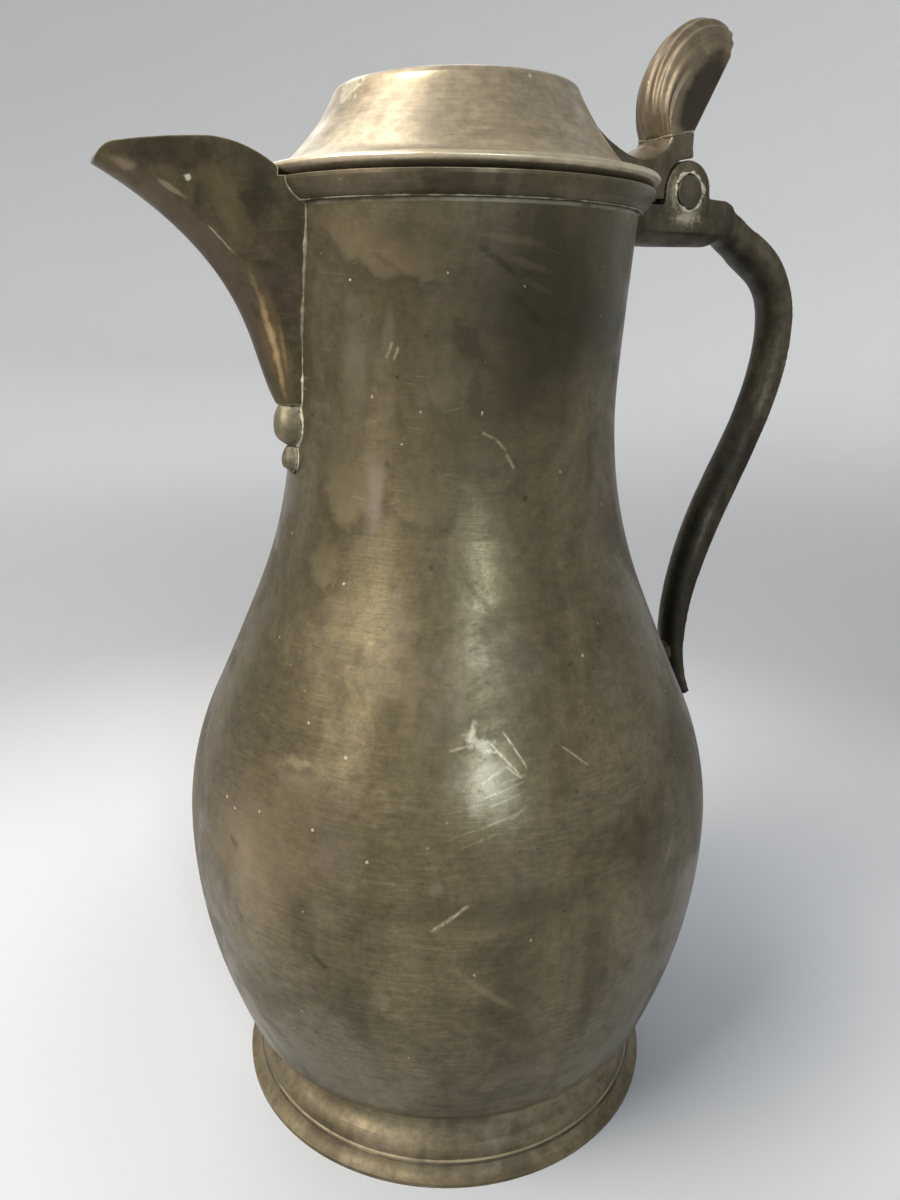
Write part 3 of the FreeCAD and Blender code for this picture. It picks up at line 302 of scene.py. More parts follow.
def buildSideLightAndShade():  # painted light and shade: faces that look one way made lighter or darker
    tree, bench, given, result = newGroup(
        "sideLightAndShade", {"Toward": (0.0, 0.0, 1.0), "Low": 0.2, "High": 0.8}, ("Mask",))
    turn = bench.vector("DOT_PRODUCT", bench.put("TexCoord").outputs["Normal"], given["Toward"])
    mask = bench.put("MapRange", turn, given["Low"], given["High"], 0.0, 1.0,
                     interpolation_type="SMOOTHSTEP").outputs[0]
    broken = bench.ramp(bench.grain(bench.place(), 0.3, 4.0), 0.25, 0.6, 0.45, 1.0)
    bench.feed(result["Mask"], bench.maths("MULTIPLY", mask, broken))
    return tree


surfacePlace = buildSurfacePlace()
softPatch = buildSoftPatch(surfacePlace)
scratchMark = buildScratchMark(surfacePlace)
tarnishClouds = buildTarnishClouds()
turnedLines = buildTurnedLines()
fineScratches = buildFineScratches()
ringBand = buildRingBand()
paleSpecks = buildPaleSpecks()
edgeWear = buildEdgeWear()
creviceDirt = buildCreviceDirt()
sideLightAndShade = buildSideLightAndShade()
print("shader groups built")


def tint(red, green, blue):  # a colour written as it looks on a screen, 0 to 255
    def straight(value):
        share = value / 255
        return share / 12.92 if share <= 0.04045 else ((share + 0.055) / 1.055) ** 2.4
    return (straight(red), straight(green), straight(blue), 1.0)


plainPewter = {
    "dark": tint(76, 68, 48), "mid": tint(95, 85, 62), "light": tint(122, 111, 84), "film": tint(108, 97, 80),
    "cloudScale": 0.035, "streakScale": 0.06, "streakStretch": (1.0, 1.0, 0.16), "streakShare": 0.4,
    "filmShare": 0.3, "lineSpacing": 0.6, "lineLength": 8.0, "lineHeight": 0.03, "lineShare": 0.2, "lineTone": 0.5,
    "lineTop": 400.0,
    "scratchLeans": (12.0, -38.0), "scratchLength": 12.0, "scratchLow": 0.735, "scratchTint": tint(165, 155, 128),
    "speckSpacing": 7.0, "speckSize": 0.08, "speckShare": 0.3, "speckStrength": 0.6, "mottle": 0.15, "fineMottle": 0.3,
    "spotSpacing": 5.3, "spotSize": 0.17, "spotShare": 0.0,
    "wearRadius": 0.5, "wearShare": 0.6, "wearTint": tint(178, 164, 132),
    "dirtReach": 1.2, "dirtShare": 0.0, "dirtTint": tint(190, 182, 158),
    "roughness": 0.42, "roughSpread": 0.16, "metallic": 0.7, "dents": 0.25, "dentScale": 0.06, "pits": 0.012,
    "grimeShare": 0.0, "grimeReach": 1.5, "grimeTint": tint(30, 26, 18), "hairShare": 0.28, "rimTint": tint(48, 42, 28),
    "patches": (), "bands": (), "marks": (), "sides": (),
}


def pewterMaterial(name, changes):
    values = {**plainPewter, **changes}
    material = bpy.data.materials.new(name)
    material.use_nodes = True
    material.node_tree.nodes.clear()
    bench = Bench(material.node_tree)
    spot = bench.place()

    clouds = bench.group(tarnishClouds, Scale=values["cloudScale"], Detail=5.0, Twist=0.8,
                         Low=0.36, High=0.62).outputs["Mask"]
    streaks = bench.group(tarnishClouds, Stretch=values["streakStretch"], Scale=values["streakScale"],
                          Detail=6.0, Twist=0.4, Low=0.42, High=0.68).outputs["Mask"]
    film = bench.group(tarnishClouds, Stretch=(0.8, 0.8, 0.5), Scale=0.028, Detail=3.0, Twist=1.6,
                       Low=0.5, High=0.6).outputs["Mask"]
    mottle = bench.ramp(bench.grain(spot, 0.35, 5.0, 0.65), 0.3, 0.7, 1 - values["mottle"], 1 + values["mottle"])
    lines = bench.group(turnedLines, **{"Spacing": values["lineSpacing"], "Length": values["lineLength"],
                                        "Clear Above": values["lineTop"]}).outputs
    mottle = bench.maths("MULTIPLY_ADD", lines["Tone"], values["lineTone"], mottle)
    fine = bench.maths("SUBTRACT", bench.grain(spot, 1.0, 3.0, 0.7), 0.5)
    mottle = bench.maths("MULTIPLY_ADD", fine, values["fineMottle"], mottle)
    hairs = [bench.group(fineScratches, Lean=lean, Length=values["scratchLength"],
                         Low=values["scratchLow"]).outputs["Mask"] for lean in values["scratchLeans"]]
    specks = bench.group(paleSpecks, Spacing=values["speckSpacing"], Size=values["speckSize"],
                         Share=values["speckShare"]).outputs["Mask"]

    colour = bench.mix(clouds, values["dark"], values["mid"])
    colour = bench.mix(bench.maths("MULTIPLY", streaks, values["streakShare"]), colour, values["light"])
    colour = bench.mix(bench.maths("MULTIPLY", film, values["filmShare"]), colour, values["film"])
    colour = bench.mix(bench.maths("MULTIPLY", lines["Mask"], values["lineShare"]), colour, values["light"])
    shade = bench.put("HueSaturation")
    bench.feed(shade.inputs["Value"], mottle)
    bench.feed(shade.inputs["Color"], colour)
    colour = shade.outputs[0]
    rough = bench.ramp(clouds, 0.0, 1.0, values["roughness"] + values["roughSpread"] / 2,
                       values["roughness"] - values["roughSpread"] / 2)
    metal = values["metallic"]
    if values["spotShare"]:
        spots = bench.group(paleSpecks, Spacing=values["spotSpacing"], Size=values["spotSize"],
                            Share=values["spotShare"]).outputs["Mask"]
        colour = bench.mix(bench.maths("MULTIPLY", spots, values["speckStrength"]), colour, values["rimTint"])
    # patches: stains, and some painted highlight and painted shade
    for patch in values["patches"]:
        stainAndPaintedLight = bench.group(softPatch, **patch["shape"]).outputs
        mask = bench.maths("MULTIPLY", stainAndPaintedLight["Mask"], patch["share"])
        colour = bench.mix(mask, colour, patch["tint"])
        if "rim" in patch:
            colour = bench.mix(bench.maths("MULTIPLY", stainAndPaintedLight["Rim"], patch["rim"]), colour, values["rimTint"])
        if "rough" in patch:
            rough = bench.maths("MULTIPLY_ADD", mask, patch["rough"], rough)
    # painted light and shade: colour set by which way each face looks
    for side in values["sides"]:
        mask = bench.group(sideLightAndShade, **side["shape"]).outputs["Mask"]
        colour = bench.mix(bench.maths("MULTIPLY", mask, side["share"]), colour, side["tint"])
    for band in values["bands"]:
        mask = bench.group(ringBand, **band["shape"]).outputs["Mask"]
        colour = bench.mix(bench.maths("MULTIPLY", mask, band["share"]), colour, band["tint"])
    if values["grimeShare"]:
        grime = bench.group(creviceDirt, Reach=values["grimeReach"]).outputs["Mask"]
        colour = bench.mix(bench.maths("MULTIPLY", grime, values["grimeShare"]), colour, values["grimeTint"])
    bright = bench.maths("MULTIPLY", bench.maths("MAXIMUM", *hairs), values["hairShare"])
    for mark in values["marks"]:
        mask = bench.group(scratchMark, **mark).outputs["Mask"]
        bright = bench.maths("MAXIMUM", bright, mask)
    colour = bench.mix(bright, colour, values["scratchTint"])
    if values["wearShare"]:
        wear = bench.group(edgeWear, Radius=values["wearRadius"]).outputs["Mask"]
        colour = bench.mix(bench.maths("MULTIPLY", wear, values["wearShare"]), colour, values["wearTint"])
    chalk = bench.maths("MULTIPLY", specks, values["speckStrength"])
    if values["dirtShare"]:
        dirt = bench.group(creviceDirt, Reach=values["dirtReach"]).outputs["Mask"]
        dirt = bench.maths("MULTIPLY", dirt, bench.ramp(bench.grain(spot, 0.9, 3.0), 0.35, 0.6))
        chalk = bench.maths("MAXIMUM", chalk, bench.maths("MULTIPLY", dirt, values["dirtShare"]))
    colour = bench.mix(chalk, colour, values["dirtTint"])
    rough = bench.maths("MULTIPLY_ADD", chalk, 0.3, rough)
    metal = bench.maths("MULTIPLY_ADD", chalk, -0.6 * values["metallic"], values["metallic"])

    dents = bench.grain(spot, values["dentScale"], 2.0, 0.4)
    pits = bench.ramp(bench.grain(spot, 1.4, 4.0, 0.7), 0.28, 0.45)
    height = bench.maths("MULTIPLY", dents, values["dents"])
    height = bench.maths("MULTIPLY_ADD", lines["Height"], values["lineHeight"], height)
    height = bench.maths("MULTIPLY_ADD", pits, values["pits"], height)
    height = bench.maths("MULTIPLY_ADD", bright, -0.02, height)
    height = bench.maths("MULTIPLY_ADD", chalk, 0.05, height)
    bump = bench.put("Bump")
    bench.feed(bump.inputs["Strength"], 1.0)
    bench.feed(bump.inputs["Distance"], mm)
    bench.feed(bump.inputs["Height"], height)

    shader = bench.put("BsdfPrincipled")
    bench.feed(shader.inputs["Base Color"], colour)
    bench.feed(shader.inputs["Roughness"], rough)
    bench.feed(shader.inputs["Metallic"], metal)
    bench.feed(shader.inputs["Normal"], bump.outputs[0])
    output = bench.put("OutputMaterial")
    bench.feed(output.inputs["Surface"], shader.outputs[0])
    return material


# Making meshes

def newPiece(name, mesh, material, body, slot, *replaced):
    piece = bpy.data.objects.new(name, mesh)
    bpy.context.scene.collection.objects.link(piece)
    mesh.materials.clear()
    mesh.materials.append(material)
    mesh.shade_smooth()
    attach(piece, body)
    if replaced:
        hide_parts(*replaced)
    return piece


def castCopy(name, nodeNames, voxel, passes):  # the solids with the soft edges of a casting
    built = bmesh.new()
    for nodeName in nodeNames:
        built.from_mesh(nodes[nodeName].data)
    mesh = bpy.data.meshes.new(name)
    built.to_mesh(mesh)
    built.free()
    holder = bpy.data.objects.new(name + "Work", mesh)
    bpy.context.scene.collection.objects.link(holder)
    remesh = holder.modifiers.new("remesh", "REMESH")
    remesh.mode = "VOXEL"
    remesh.voxel_size = voxel * mm
    soften = holder.modifiers.new("soften", "SMOOTH")
    soften.factor = 0.5
    soften.iterations = passes
    shaped = holder.evaluated_get(bpy.context.evaluated_depsgraph_get())
    result = bpy.data.meshes.new_from_object(shaped)
    result.name = name
    bpy.data.objects.remove(holder)
    bpy.data.meshes.remove(mesh)
    return result


def shiftPoints(mesh, rule):  # rule turns a point in millimetres into a shift in millimetres
    before = [(vertex.co / mm, vertex.normal.copy()) for vertex in mesh.vertices]
    for vertex, (point, normal) in zip(mesh.vertices, before):
        vertex.co = (point + rule(point, normal)) * mm
    mesh.update()


def dress(nodeName, material):  # a better finish on a solid that keeps its shape
    for place in nodes[nodeName].material_slots:
        place.material = material


# The belly, neck, mouth and base of the body

def stainAndPaintedLight(azimuth, height, halfLength, halfWidth, share, colour, tilt=0.0, **more):
    # one patch on the body, mostly stains, a few painted highlight and painted shade: where it lies, how far it reaches
    # and how strong it is
    looks = {"Softness": 0.7, "Raggedness": 1.2, "Grain": 0.12, "Fade": 0.0}
    looks.update({name: value for name, value in more.items() if name in looks})
    patch = {"shape": {"Azimuth": azimuth, "Height": height, "Tilt": tilt, "Half Length": halfLength,
                       "Half Width": halfWidth, **looks}, "share": share, "tint": tint(*colour)}
    patch.update({name: value for name, value in more.items() if name not in looks})
    return patch


def scratch(azimuth, height, tilt, length, width, strength=1.0):
    return {"Azimuth": azimuth, "Height": height, "Tilt": tilt, "Length": length, "Width": width,
            "Strength": strength}


sheen = random.Random(5)
bodyValues = {
    "wearShare": 0.0, "lineSpacing": 0.8, "lineLength": 7.0, "lineTone": 1.25, "lineShare": 0.12, "lineTop": 122.0,
    "scratchLeans": (6.0, -17.0), "scratchLow": 0.74, "scratchLength": 11.0, "hairShare": 0.2, "mottle": 0.15, "fineMottle": 0.55,
    "speckSpacing": 3.8, "speckSize": 0.15, "speckShare": 0.26, "spotShare": 0.3,
    "patches": (
        stainAndPaintedLight(-86.0, 220.0, 54.0, 38.0, 0.82, (44, 38, 22), Softness=0.9, Raggedness=0.8, Grain=0.05),
        # painted dark reflection: the front of the neck darkened where the unlit room in front would be reflected
        stainAndPaintedLight(-114.0, 190.0, 18.0, 26.0, 0.5, (58, 51, 33), Softness=0.95, Raggedness=1.6, Grain=0.08),
        stainAndPaintedLight(-151.0, 206.0, 22.0, 5.5, 0.42, (122, 114, 96), tilt=86.0, Softness=0.9, Raggedness=1.6, Grain=0.15),
        stainAndPaintedLight(-144.5, 208.0, 13.0, 2.6, 0.45, (82, 70, 54), tilt=78.0, Raggedness=1.4, Grain=0.2),
        stainAndPaintedLight(-139.0, 212.0, 8.0, 1.8, 0.4, (118, 106, 88), tilt=84.0, Raggedness=1.4, Grain=0.25),
        stainAndPaintedLight(-152.0, 225.0, 13.0, 4.5, 0.4, (56, 50, 35), tilt=-28.0, Softness=0.9, Raggedness=1.0),
        stainAndPaintedLight(-144.0, 230.5, 15.0, 6.0, 0.5, (110, 96, 74), tilt=-26.0, Softness=0.35, Raggedness=0.9, Grain=0.2,
              Fade=0.85, rim=0.22),
        stainAndPaintedLight(-130.5, 226.5, 8.0, 3.4, 0.45, (104, 90, 70), tilt=-20.0, Softness=0.4, Raggedness=1.4, Grain=0.3,
              Fade=0.7, rim=0.2),
        stainAndPaintedLight(-117.0, 211.0, 9.0, 3.6, 0.55, (46, 40, 26), tilt=-50.0, Softness=0.7, Raggedness=1.4, Grain=0.2),
        stainAndPaintedLight(-113.0, 199.0, 7.0, 2.4, 0.4, (50, 44, 30), tilt=-84.0, Softness=0.8, Raggedness=1.6, Grain=0.2),
        stainAndPaintedLight(-126.0, 207.0, 11.0, 3.0, 0.3, (92, 82, 60), tilt=-58.0, Softness=0.4, Raggedness=1.6, Fade=0.8),
        stainAndPaintedLight(-107.0, 226.5, 8.5, 1.1, 0.6, (38, 33, 21), tilt=-33.0, Raggedness=1.4, Grain=0.4),
        stainAndPaintedLight(-98.0, 217.0, 9.0, 1.4, 0.45, (38, 33, 21), tilt=-40.0, Raggedness=1.6, Grain=0.4),
        stainAndPaintedLight(-104.0, 231.0, 9.0, 1.4, 0.5, (90, 81, 60), tilt=-8.0, Raggedness=1.8, Grain=0.35),
        stainAndPaintedLight(-100.0, 226.5, 8.0, 1.1, 0.5, (84, 76, 56), tilt=-14.0, Raggedness=1.8, Grain=0.35),
        stainAndPaintedLight(-96.0, 222.0, 6.0, 1.0, 0.4, (80, 73, 54), tilt=-20.0, Raggedness=1.8, Grain=0.35),
        stainAndPaintedLight(-153.0, 181.0, 8.5, 13.0, 0.5, (132, 119, 92), Softness=0.35, Raggedness=1.1, Grain=0.16, Fade=0.8,
              rim=0.28),
        stainAndPaintedLight(-143.5, 178.0, 3.0, 12.0, 0.5, (138, 126, 116), Softness=0.8, Raggedness=1.4),
        stainAndPaintedLight(-128.0, 177.0, 7.0, 7.0, 0.35, (112, 103, 80), Softness=0.5, Raggedness=1.8, Grain=0.16, Fade=0.8,
              rim=0.25),
        stainAndPaintedLight(-159.0, 161.0, 6.0, 7.0, 0.4, (128, 114, 86), Softness=0.5, Raggedness=1.6, Grain=0.2, Fade=0.6,
              rim=0.25),
        stainAndPaintedLight(-160.0, 96.0, 26.0, 24.0, 0.5, (146, 127, 102), Softness=0.95, Raggedness=0.9, Grain=0.06),
        stainAndPaintedLight(-142.0, 104.0, 8.0, 12.0, 0.3, (122, 110, 102), Softness=0.9, Raggedness=1.0),
        stainAndPaintedLight(-116.0, 91.0, 46.0, 6.0, 0.42, (64, 56, 38), tilt=1.0, Softness=0.9, Raggedness=1.4, Grain=0.06),
        stainAndPaintedLight(-113.0, 70.5, 17.0, 1.6, 0.4, (134, 122, 96), tilt=-41.0, Softness=0.9, Raggedness=1.2),
        # painted highlight: a soft pale patch on the front of the belly
        stainAndPaintedLight(-112.0, 118.0, 10.0, 11.0, 0.35, (146, 142, 124), Softness=0.95, Raggedness=1.8, Grain=0.3),
        stainAndPaintedLight(-113.5, 126.5, 4.5, 1.8, 0.4, (180, 174, 154), tilt=-22.0, Softness=0.9, Raggedness=2.2, Grain=0.6),
        stainAndPaintedLight(-144.0, 74.0, 4.0, 1.4, 0.6, (44, 38, 26), tilt=-35.0, Softness=0.7, Raggedness=2.0, Grain=0.5),
        stainAndPaintedLight(-164.0, 76.0, 5.0, 0.8, 0.6, (50, 44, 32), tilt=-55.0, Softness=0.7, Raggedness=1.4, Grain=0.5),
        stainAndPaintedLight(-166.0, 95.0, 3.5, 1.5, 0.5, (58, 50, 36), tilt=-30.0, Softness=0.8, Raggedness=2.0, Grain=0.5),
        stainAndPaintedLight(-152.0, 118.0, 8.0, 1.8, 0.28, (160, 145, 114), tilt=6.0, Softness=0.9, Raggedness=2.4, Grain=0.5),
        stainAndPaintedLight(-122.0, 96.7, 2.2, 2.0, 0.3, (134, 124, 104), Softness=0.6, Raggedness=1.6, Grain=0.5),
        stainAndPaintedLight(-132.0, 66.0, 3.2, 3.4, 0.3, (136, 124, 100), Softness=0.5, Raggedness=1.4, Grain=0.3),
    ),
    "bands": (
        {"shape": {"Height": 238.3, "Half Width": 0.5, "Brokenness": 0.95}, "share": 0.5, "tint": tint(150, 144, 126)},
        # painted shade: a dark ring low on the belly, where it turns under towards the foot
        {"shape": {"Height": 20.0, "Half Width": 4.0, "Brokenness": 0.4}, "share": 0.45, "tint": tint(56, 49, 34)},
    ),
    "marks": (
        scratch(-119.4, 89.8, 38.0, 12.0, 0.65),
        scratch(-92.6, 121.4, -40.0, 9.0, 0.45, 0.8),
        scratch(-108.5, 123.0, -48.0, 12.0, 0.5, 0.8),
        scratch(-106.0, 124.5, -58.0, 10.0, 0.45, 0.8),
        scratch(-106.6, 120.0, -38.0, 5.0, 0.5, 0.7),
        scratch(-115.0, 128.0, 78.0, 7.0, 1.0, 0.8),
        scratch(-117.4, 125.4, 14.0, 6.0, 0.5, 0.5),
        scratch(-111.0, 124.6, -8.0, 5.0, 0.5, 0.5),
        scratch(-108.6, 190.8, -24.0, 4.5, 0.5, 0.5),
        scratch(-104.9, 188.6, -44.0, 4.0, 0.55, 0.5),
        scratch(-102.0, 185.2, -62.0, 4.5, 0.6, 0.5),
        scratch(-138.9, 208.6, 68.0, 4.5, 0.5, 0.7),
        scratch(-136.8, 208.0, 68.0, 3.6, 0.5, 0.6),
        scratch(-71.0, 92.5, 55.0, 10.0, 0.35, 0.5),
        scratch(-66.5, 86.0, 70.0, 9.0, 0.35, 0.4),
        scratch(-169.0, 72.0, -58.0, 8.0, 0.4, 0.6),
    ) + tuple(scratch(-112.0 + sheen.uniform(-6, 6), 120.0 - 1.3 * step, 24.0 + sheen.uniform(-11, 9),
                      sheen.uniform(4, 12), sheen.uniform(0.2, 0.5), sheen.uniform(0.15, 0.4))
              for step in range(11)),
}
bodyFinish = pewterMaterial("bodyFinish", bodyValues)
for nodeName in ("lower_body", "upper_body", "base_plate"):
    dress(nodeName, bodyFinish)
bandLook = {"dark": tint(58, 51, 36), "mid": tint(80, 71, 52), "light": tint(112, 101, 78), "wearShare": 0.6,
            "streakStretch": (0.5, 0.5, 1.4), "hairShare": 0.1}
dress("mouth_band", pewterMaterial("bandFinish", bandLook))
print("body finished")


# The foot, golden brown and rubbed brighter than the body

footValues = {
    "dark": tint(84, 74, 54), "mid": tint(106, 95, 72), "light": tint(130, 118, 92),
    "film": tint(122, 112, 92), "streakStretch": (0.5, 0.5, 1.6), "streakScale": 0.08, "mottle": 0.2,
    "bands": ({"shape": {"Height": 4.45, "Half Width": 0.42, "Brokenness": 0.5},
               "share": 0.8, "tint": tint(46, 40, 26)},
              {"shape": {"Height": 5.0, "Half Width": 0.35, "Brokenness": 0.9},
               "share": 0.45, "tint": tint(166, 150, 120)}),
    "lineSpacing": 0.7, "lineShare": 0.2, "lineTone": 0.6, "wearRadius": 0.5, "wearShare": 0.12,
    "wearTint": tint(182, 165, 130), "roughness": 0.5, "metallic": 0.6, "speckSpacing": 5.0,
}
footFinish = pewterMaterial("footFinish", footValues)
dress("foot_ring", footFinish)
print("foot finished")


# The lid, its lip uneven and its top a little out of level, as the photograph shows it

lidValues = {
    "topTilt": 0.6, "topRadius": 27.0, "tiltStart": 248.0, "tiltEnd": 262.0, "tiltAzimuth": -30.0,
    "dropAzimuth": 170.0, "dropWidth": 50.0, "drop": 0.22, "lipRadius": 47.8, "lipDrop": 0.3,
    "waveSize": 13.0, "wave": 0.16, "dentSize": 18.0, "dent": 0.22,
}
lidLook = {
    "dark": tint(140, 126, 102), "mid": tint(170, 156, 130), "light": tint(202, 187, 157),
    "film": tint(158, 145, 126), "streakStretch": (0.5, 0.5, 1.8), "streakScale": 0.07, "streakShare": 0.4,
    "lineSpacing": 0.5, "lineLength": 10.0, "lineShare": 0.3, "lineHeight": 0.02,
    "wearRadius": 0.8, "wearShare": 0.8, "wearTint": tint(214, 198, 164), "roughness": 0.36,
    "patches": (
        {"shape": {"Azimuth": -172.0, "Height": 263.0, "Out From": 26.0, "Half Length": 4.5, "Half Width": 3.5,
                   "Softness": 0.5, "Raggedness": 2.4, "Grain": 0.7}, "share": 0.8, "tint": tint(226, 214, 186)},
    ),
    # partly rubbed wear and partly painted highlight: the lid's rim bead made bright
    "bands": ({"shape": {"Height": 246.3, "Half Width": 1.0, "Inner Radius": 46.8, "Brokenness": 0.3},
               "share": 0.75, "tint": tint(206, 194, 164)},),
}


def lidWarp(point, normal):
    values = lidValues
    azimuth = math.radians(values["tiltAzimuth"])
    side = (point.x * math.cos(azimuth) + point.y * math.sin(azimuth)) / values["topRadius"]
    lift = values["topTilt"] * side * smooth(point.z, values["tiltStart"], values["tiltEnd"])
    turn = abs((azimuthOf(point) - values["dropAzimuth"] + 180) % 360 - 180)
    near = 1 - smooth(turn, 0, values["dropWidth"])
    low = 1 - smooth(point.z, values["tiltStart"] - 2, values["tiltEnd"])
    radius = math.hypot(point.x, point.y)
    lip = smooth(radius, values["lipRadius"] - 0.6, values["lipRadius"])
    lift -= near * low * (values["drop"] + values["lipDrop"] * lip)
    lift += ripple(point, values["waveSize"], 4) * values["wave"] * lip
    out = Vector((point.x, point.y, 0)).normalized() if radius > 1 else Vector()
    return out * ripple(point, values["dentSize"], 7) * values["dent"] + Vector((0, 0, lift))


def plainCopy(nodeName, name):  # a solid's mesh, free to be reshaped
    built = bmesh.new()
    built.from_mesh(nodes[nodeName].data)
    bmesh.ops.remove_doubles(built, verts=built.verts, dist=0.002 * mm)
    mesh = bpy.data.meshes.new(name)
    built.to_mesh(mesh)
    built.free()
    for title in [layer.name for layer in mesh.attributes if "custom_normal" in layer.name]:
        mesh.attributes.remove(mesh.attributes[title])
    return mesh


lidFinish = pewterMaterial("lidFinish", lidLook)
lidMesh = plainCopy("lid_shell", "lidShell")
shiftPoints(lidMesh, lidWarp)
lid = newPiece("lid", lidMesh, lidFinish, "lid", "lid_pewter", "lid_shell")
lidMesh.set_sharp_from_angle(angle=math.radians(38))
print("lid shaped")


# The lug that carries the lid, crowned in front of the thumbpiece's foot

lugValues = {
    "voxel": 0.4, "passes": 4, "halfWidth": 7.0, "crownStart": 49.0, "crownFull": 55.5, "crownRise": 3.6,
    "footStart": 57.5, "footEnd": 61.5, "footRise": 1.6, "lowest": 252.5, "edgeNoise": 0.08,
}
lugLook = {
    "dark": tint(66, 59, 44), "mid": tint(92, 82, 64), "light": tint(126, 115, 94), "wearRadius": 0.6,
    "wearTint": tint(190, 175, 142), "wearShare": 0.8, "dirtShare": 0.5, "dirtReach": 1.0, "lineTone": 0.0,
    # painted top light: faces that look up are made lighter
    "sides": ({"shape": {"Toward": (0.0, 0.0, 1.0), "Low": 0.5, "High": 0.85}, "share": 0.6,
               "tint": tint(138, 124, 108)},),
}
pinLook = {"dark": tint(58, 52, 42), "mid": tint(82, 74, 60), "light": tint(104, 95, 80), "wearShare": 0.4,
           "lineTone": 0.0, "lineShare": 0.0, "roughness": 0.5}


def lugCrown(point, normal):
    values = lugValues
    rise = values["crownRise"] * smooth(point.x, values["crownStart"], values["crownFull"])
    end = smooth(point.x, values["footStart"], values["footEnd"])
    rise += (values["footRise"] - values["crownRise"]) * end
    if normal.z < 0.3 or point.z < values["lowest"] or point.x > values["footEnd"] + 0.5:
        rise = 0
    across = min(abs(point.y) / values["halfWidth"], 1)
    worn = normal * ripple(point, 3.0, 2) * values["edgeNoise"]
    return Vector((0, 0, rise * (1 - across ** 2.0))) + worn


castFinish = pewterMaterial("castFinish", lugLook)
lugMesh = castCopy("hingeLug", ["lid_hinge_lug"], lugValues["voxel"], lugValues["passes"])
shiftPoints(lugMesh, lugCrown)
lug = newPiece("lidHingeLug", lugMesh, castFinish, "lid", "lid_pewter", "lid_hinge_lug")
print("lug shaped")


# The handle with its strut, dark and worn, with painted light and shade on its faces and a painted shadow low down

handleValues = {
    "voxel": 0.4, "passes": 4, "wornSize": 5.0, "worn": 0.05,
    "joinPlace": (88.0, 236.0), "joinReach": 9.0, "joinPasses": 36,
    "edgeTop": 237.6, "edgePasses": 22, "edgeDrop": 0.4, "edgeBack": 84.0,
    "insidePlace": (98.0, 228.5), "insideReach": 14.0, "insideFill": 1.5,
    "joinDrop": 0.8, "joinDropPlace": (89.0, 235.0), "joinDropReach": 6.0,
    "cornerPlace": (83.6, 244.4), "cornerReach": 5.0, "cornerOut": 1.8,
    "taperFront": 74.0, "taperBack": 88.0, "strapSide": 5.9,
}
handleLook = {
    "dark": tint(44, 38, 27), "mid": tint(66, 58, 42), "light": tint(112, 102, 80), "film": tint(76, 67, 50),
    "hairShare": 0.1, "grimeShare": 0.5, "mottle": 0.28,
    "patches": (
        {"shape": {"Azimuth": -90.0, "Height": 246.0, "Shift": 68.2, "Half Length": 6.8, "Half Width": 7.4,
                   "Softness": 0.5, "Raggedness": 1.6, "Grain": 0.5}, "share": 0.6, "tint": tint(136, 128, 104)},
        {"shape": {"Azimuth": -90.0, "Height": 241.2, "Shift": 68.6, "Half Length": 5.2, "Half Width": 2.8,
                   "Softness": 0.9, "Raggedness": 2.2, "Grain": 0.9}, "share": 0.9, "tint": tint(168, 160, 138)},
        {"shape": {"Azimuth": -90.0, "Height": 247.5, "Shift": 63.6, "Half Length": 1.8, "Half Width": 6.0,
                   "Softness": 0.9, "Raggedness": 1.8, "Grain": 0.9}, "share": 0.7, "tint": tint(160, 152, 128)},
        {"shape": {"Azimuth": -90.0, "Height": 224.0, "Shift": 99.0, "Tilt": -50.0, "Half Length": 20.0,
                   "Half Width": 8.0, "Softness": 0.9, "Raggedness": 1.0}, "share": 0.5, "tint": tint(28, 23, 15)},
        # painted shadow: a dark patch on the near side low on the handle, round the strut
        {"shape": {"Azimuth": -90.0, "Height": 132.0, "Shift": 80.0, "Half Length": 22.0, "Half Width": 34.0,
                   "Softness": 0.6, "Raggedness": 1.0, "Grain": 0.06}, "share": 0.6, "tint": tint(26, 22, 14)},
        # painted shade: a dark line along the lower edge of the block
        {"shape": {"Azimuth": -90.0, "Height": 237.0, "Shift": 70.0, "Half Length": 20.0, "Half Width": 0.7,
                   "Softness": 0.9, "Raggedness": 0.4}, "share": 0.75, "tint": tint(24, 20, 12)},
        {"shape": {"Azimuth": -90.0, "Height": 235.4, "Shift": 68.0, "Half Length": 22.0, "Half Width": 1.0,
                   "Softness": 0.9, "Raggedness": 0.4}, "share": 0.4, "tint": tint(100, 95, 88)},
    ),
    "sides": (
        # painted shade: the inner faces turned toward the body and down are darkened
        {"shape": {"Toward": (-0.85, 0.0, -0.5), "Low": 0.2, "High": 0.7}, "share": 0.6, "tint": tint(24, 20, 13)},
        # painted sheen: a grey lightening on the faces turned most toward the body and down
        {"shape": {"Toward": (-0.9, 0.0, -0.43), "Low": 0.82, "High": 0.98}, "share": 0.35,
         "tint": tint(82, 79, 72)},
        # painted light: the outer faces are lightened
        {"shape": {"Toward": (0.9, 0.0, 0.43), "Low": 0.1, "High": 0.7}, "share": 0.6, "tint": tint(128, 113, 84)},
    ),
    "streakStretch": (0.6, 1.0, 0.14), "streakScale": 0.1, "streakShare": 0.6, "lineHeight": 0.0, "lineShare": 0.0,
    "lineTone": 0.0, "wearTint": tint(150, 138, 110), "wearShare": 0.6, "pits": 0.06, "roughness": 0.44,
    "dirtShare": 0.2,
}


def closeTo(point, place, reach):  # how near a point lies to a place seen from the side
    return 1 - smooth(math.hypot(point.x - place[0], point.z - place[1]), 0, reach)


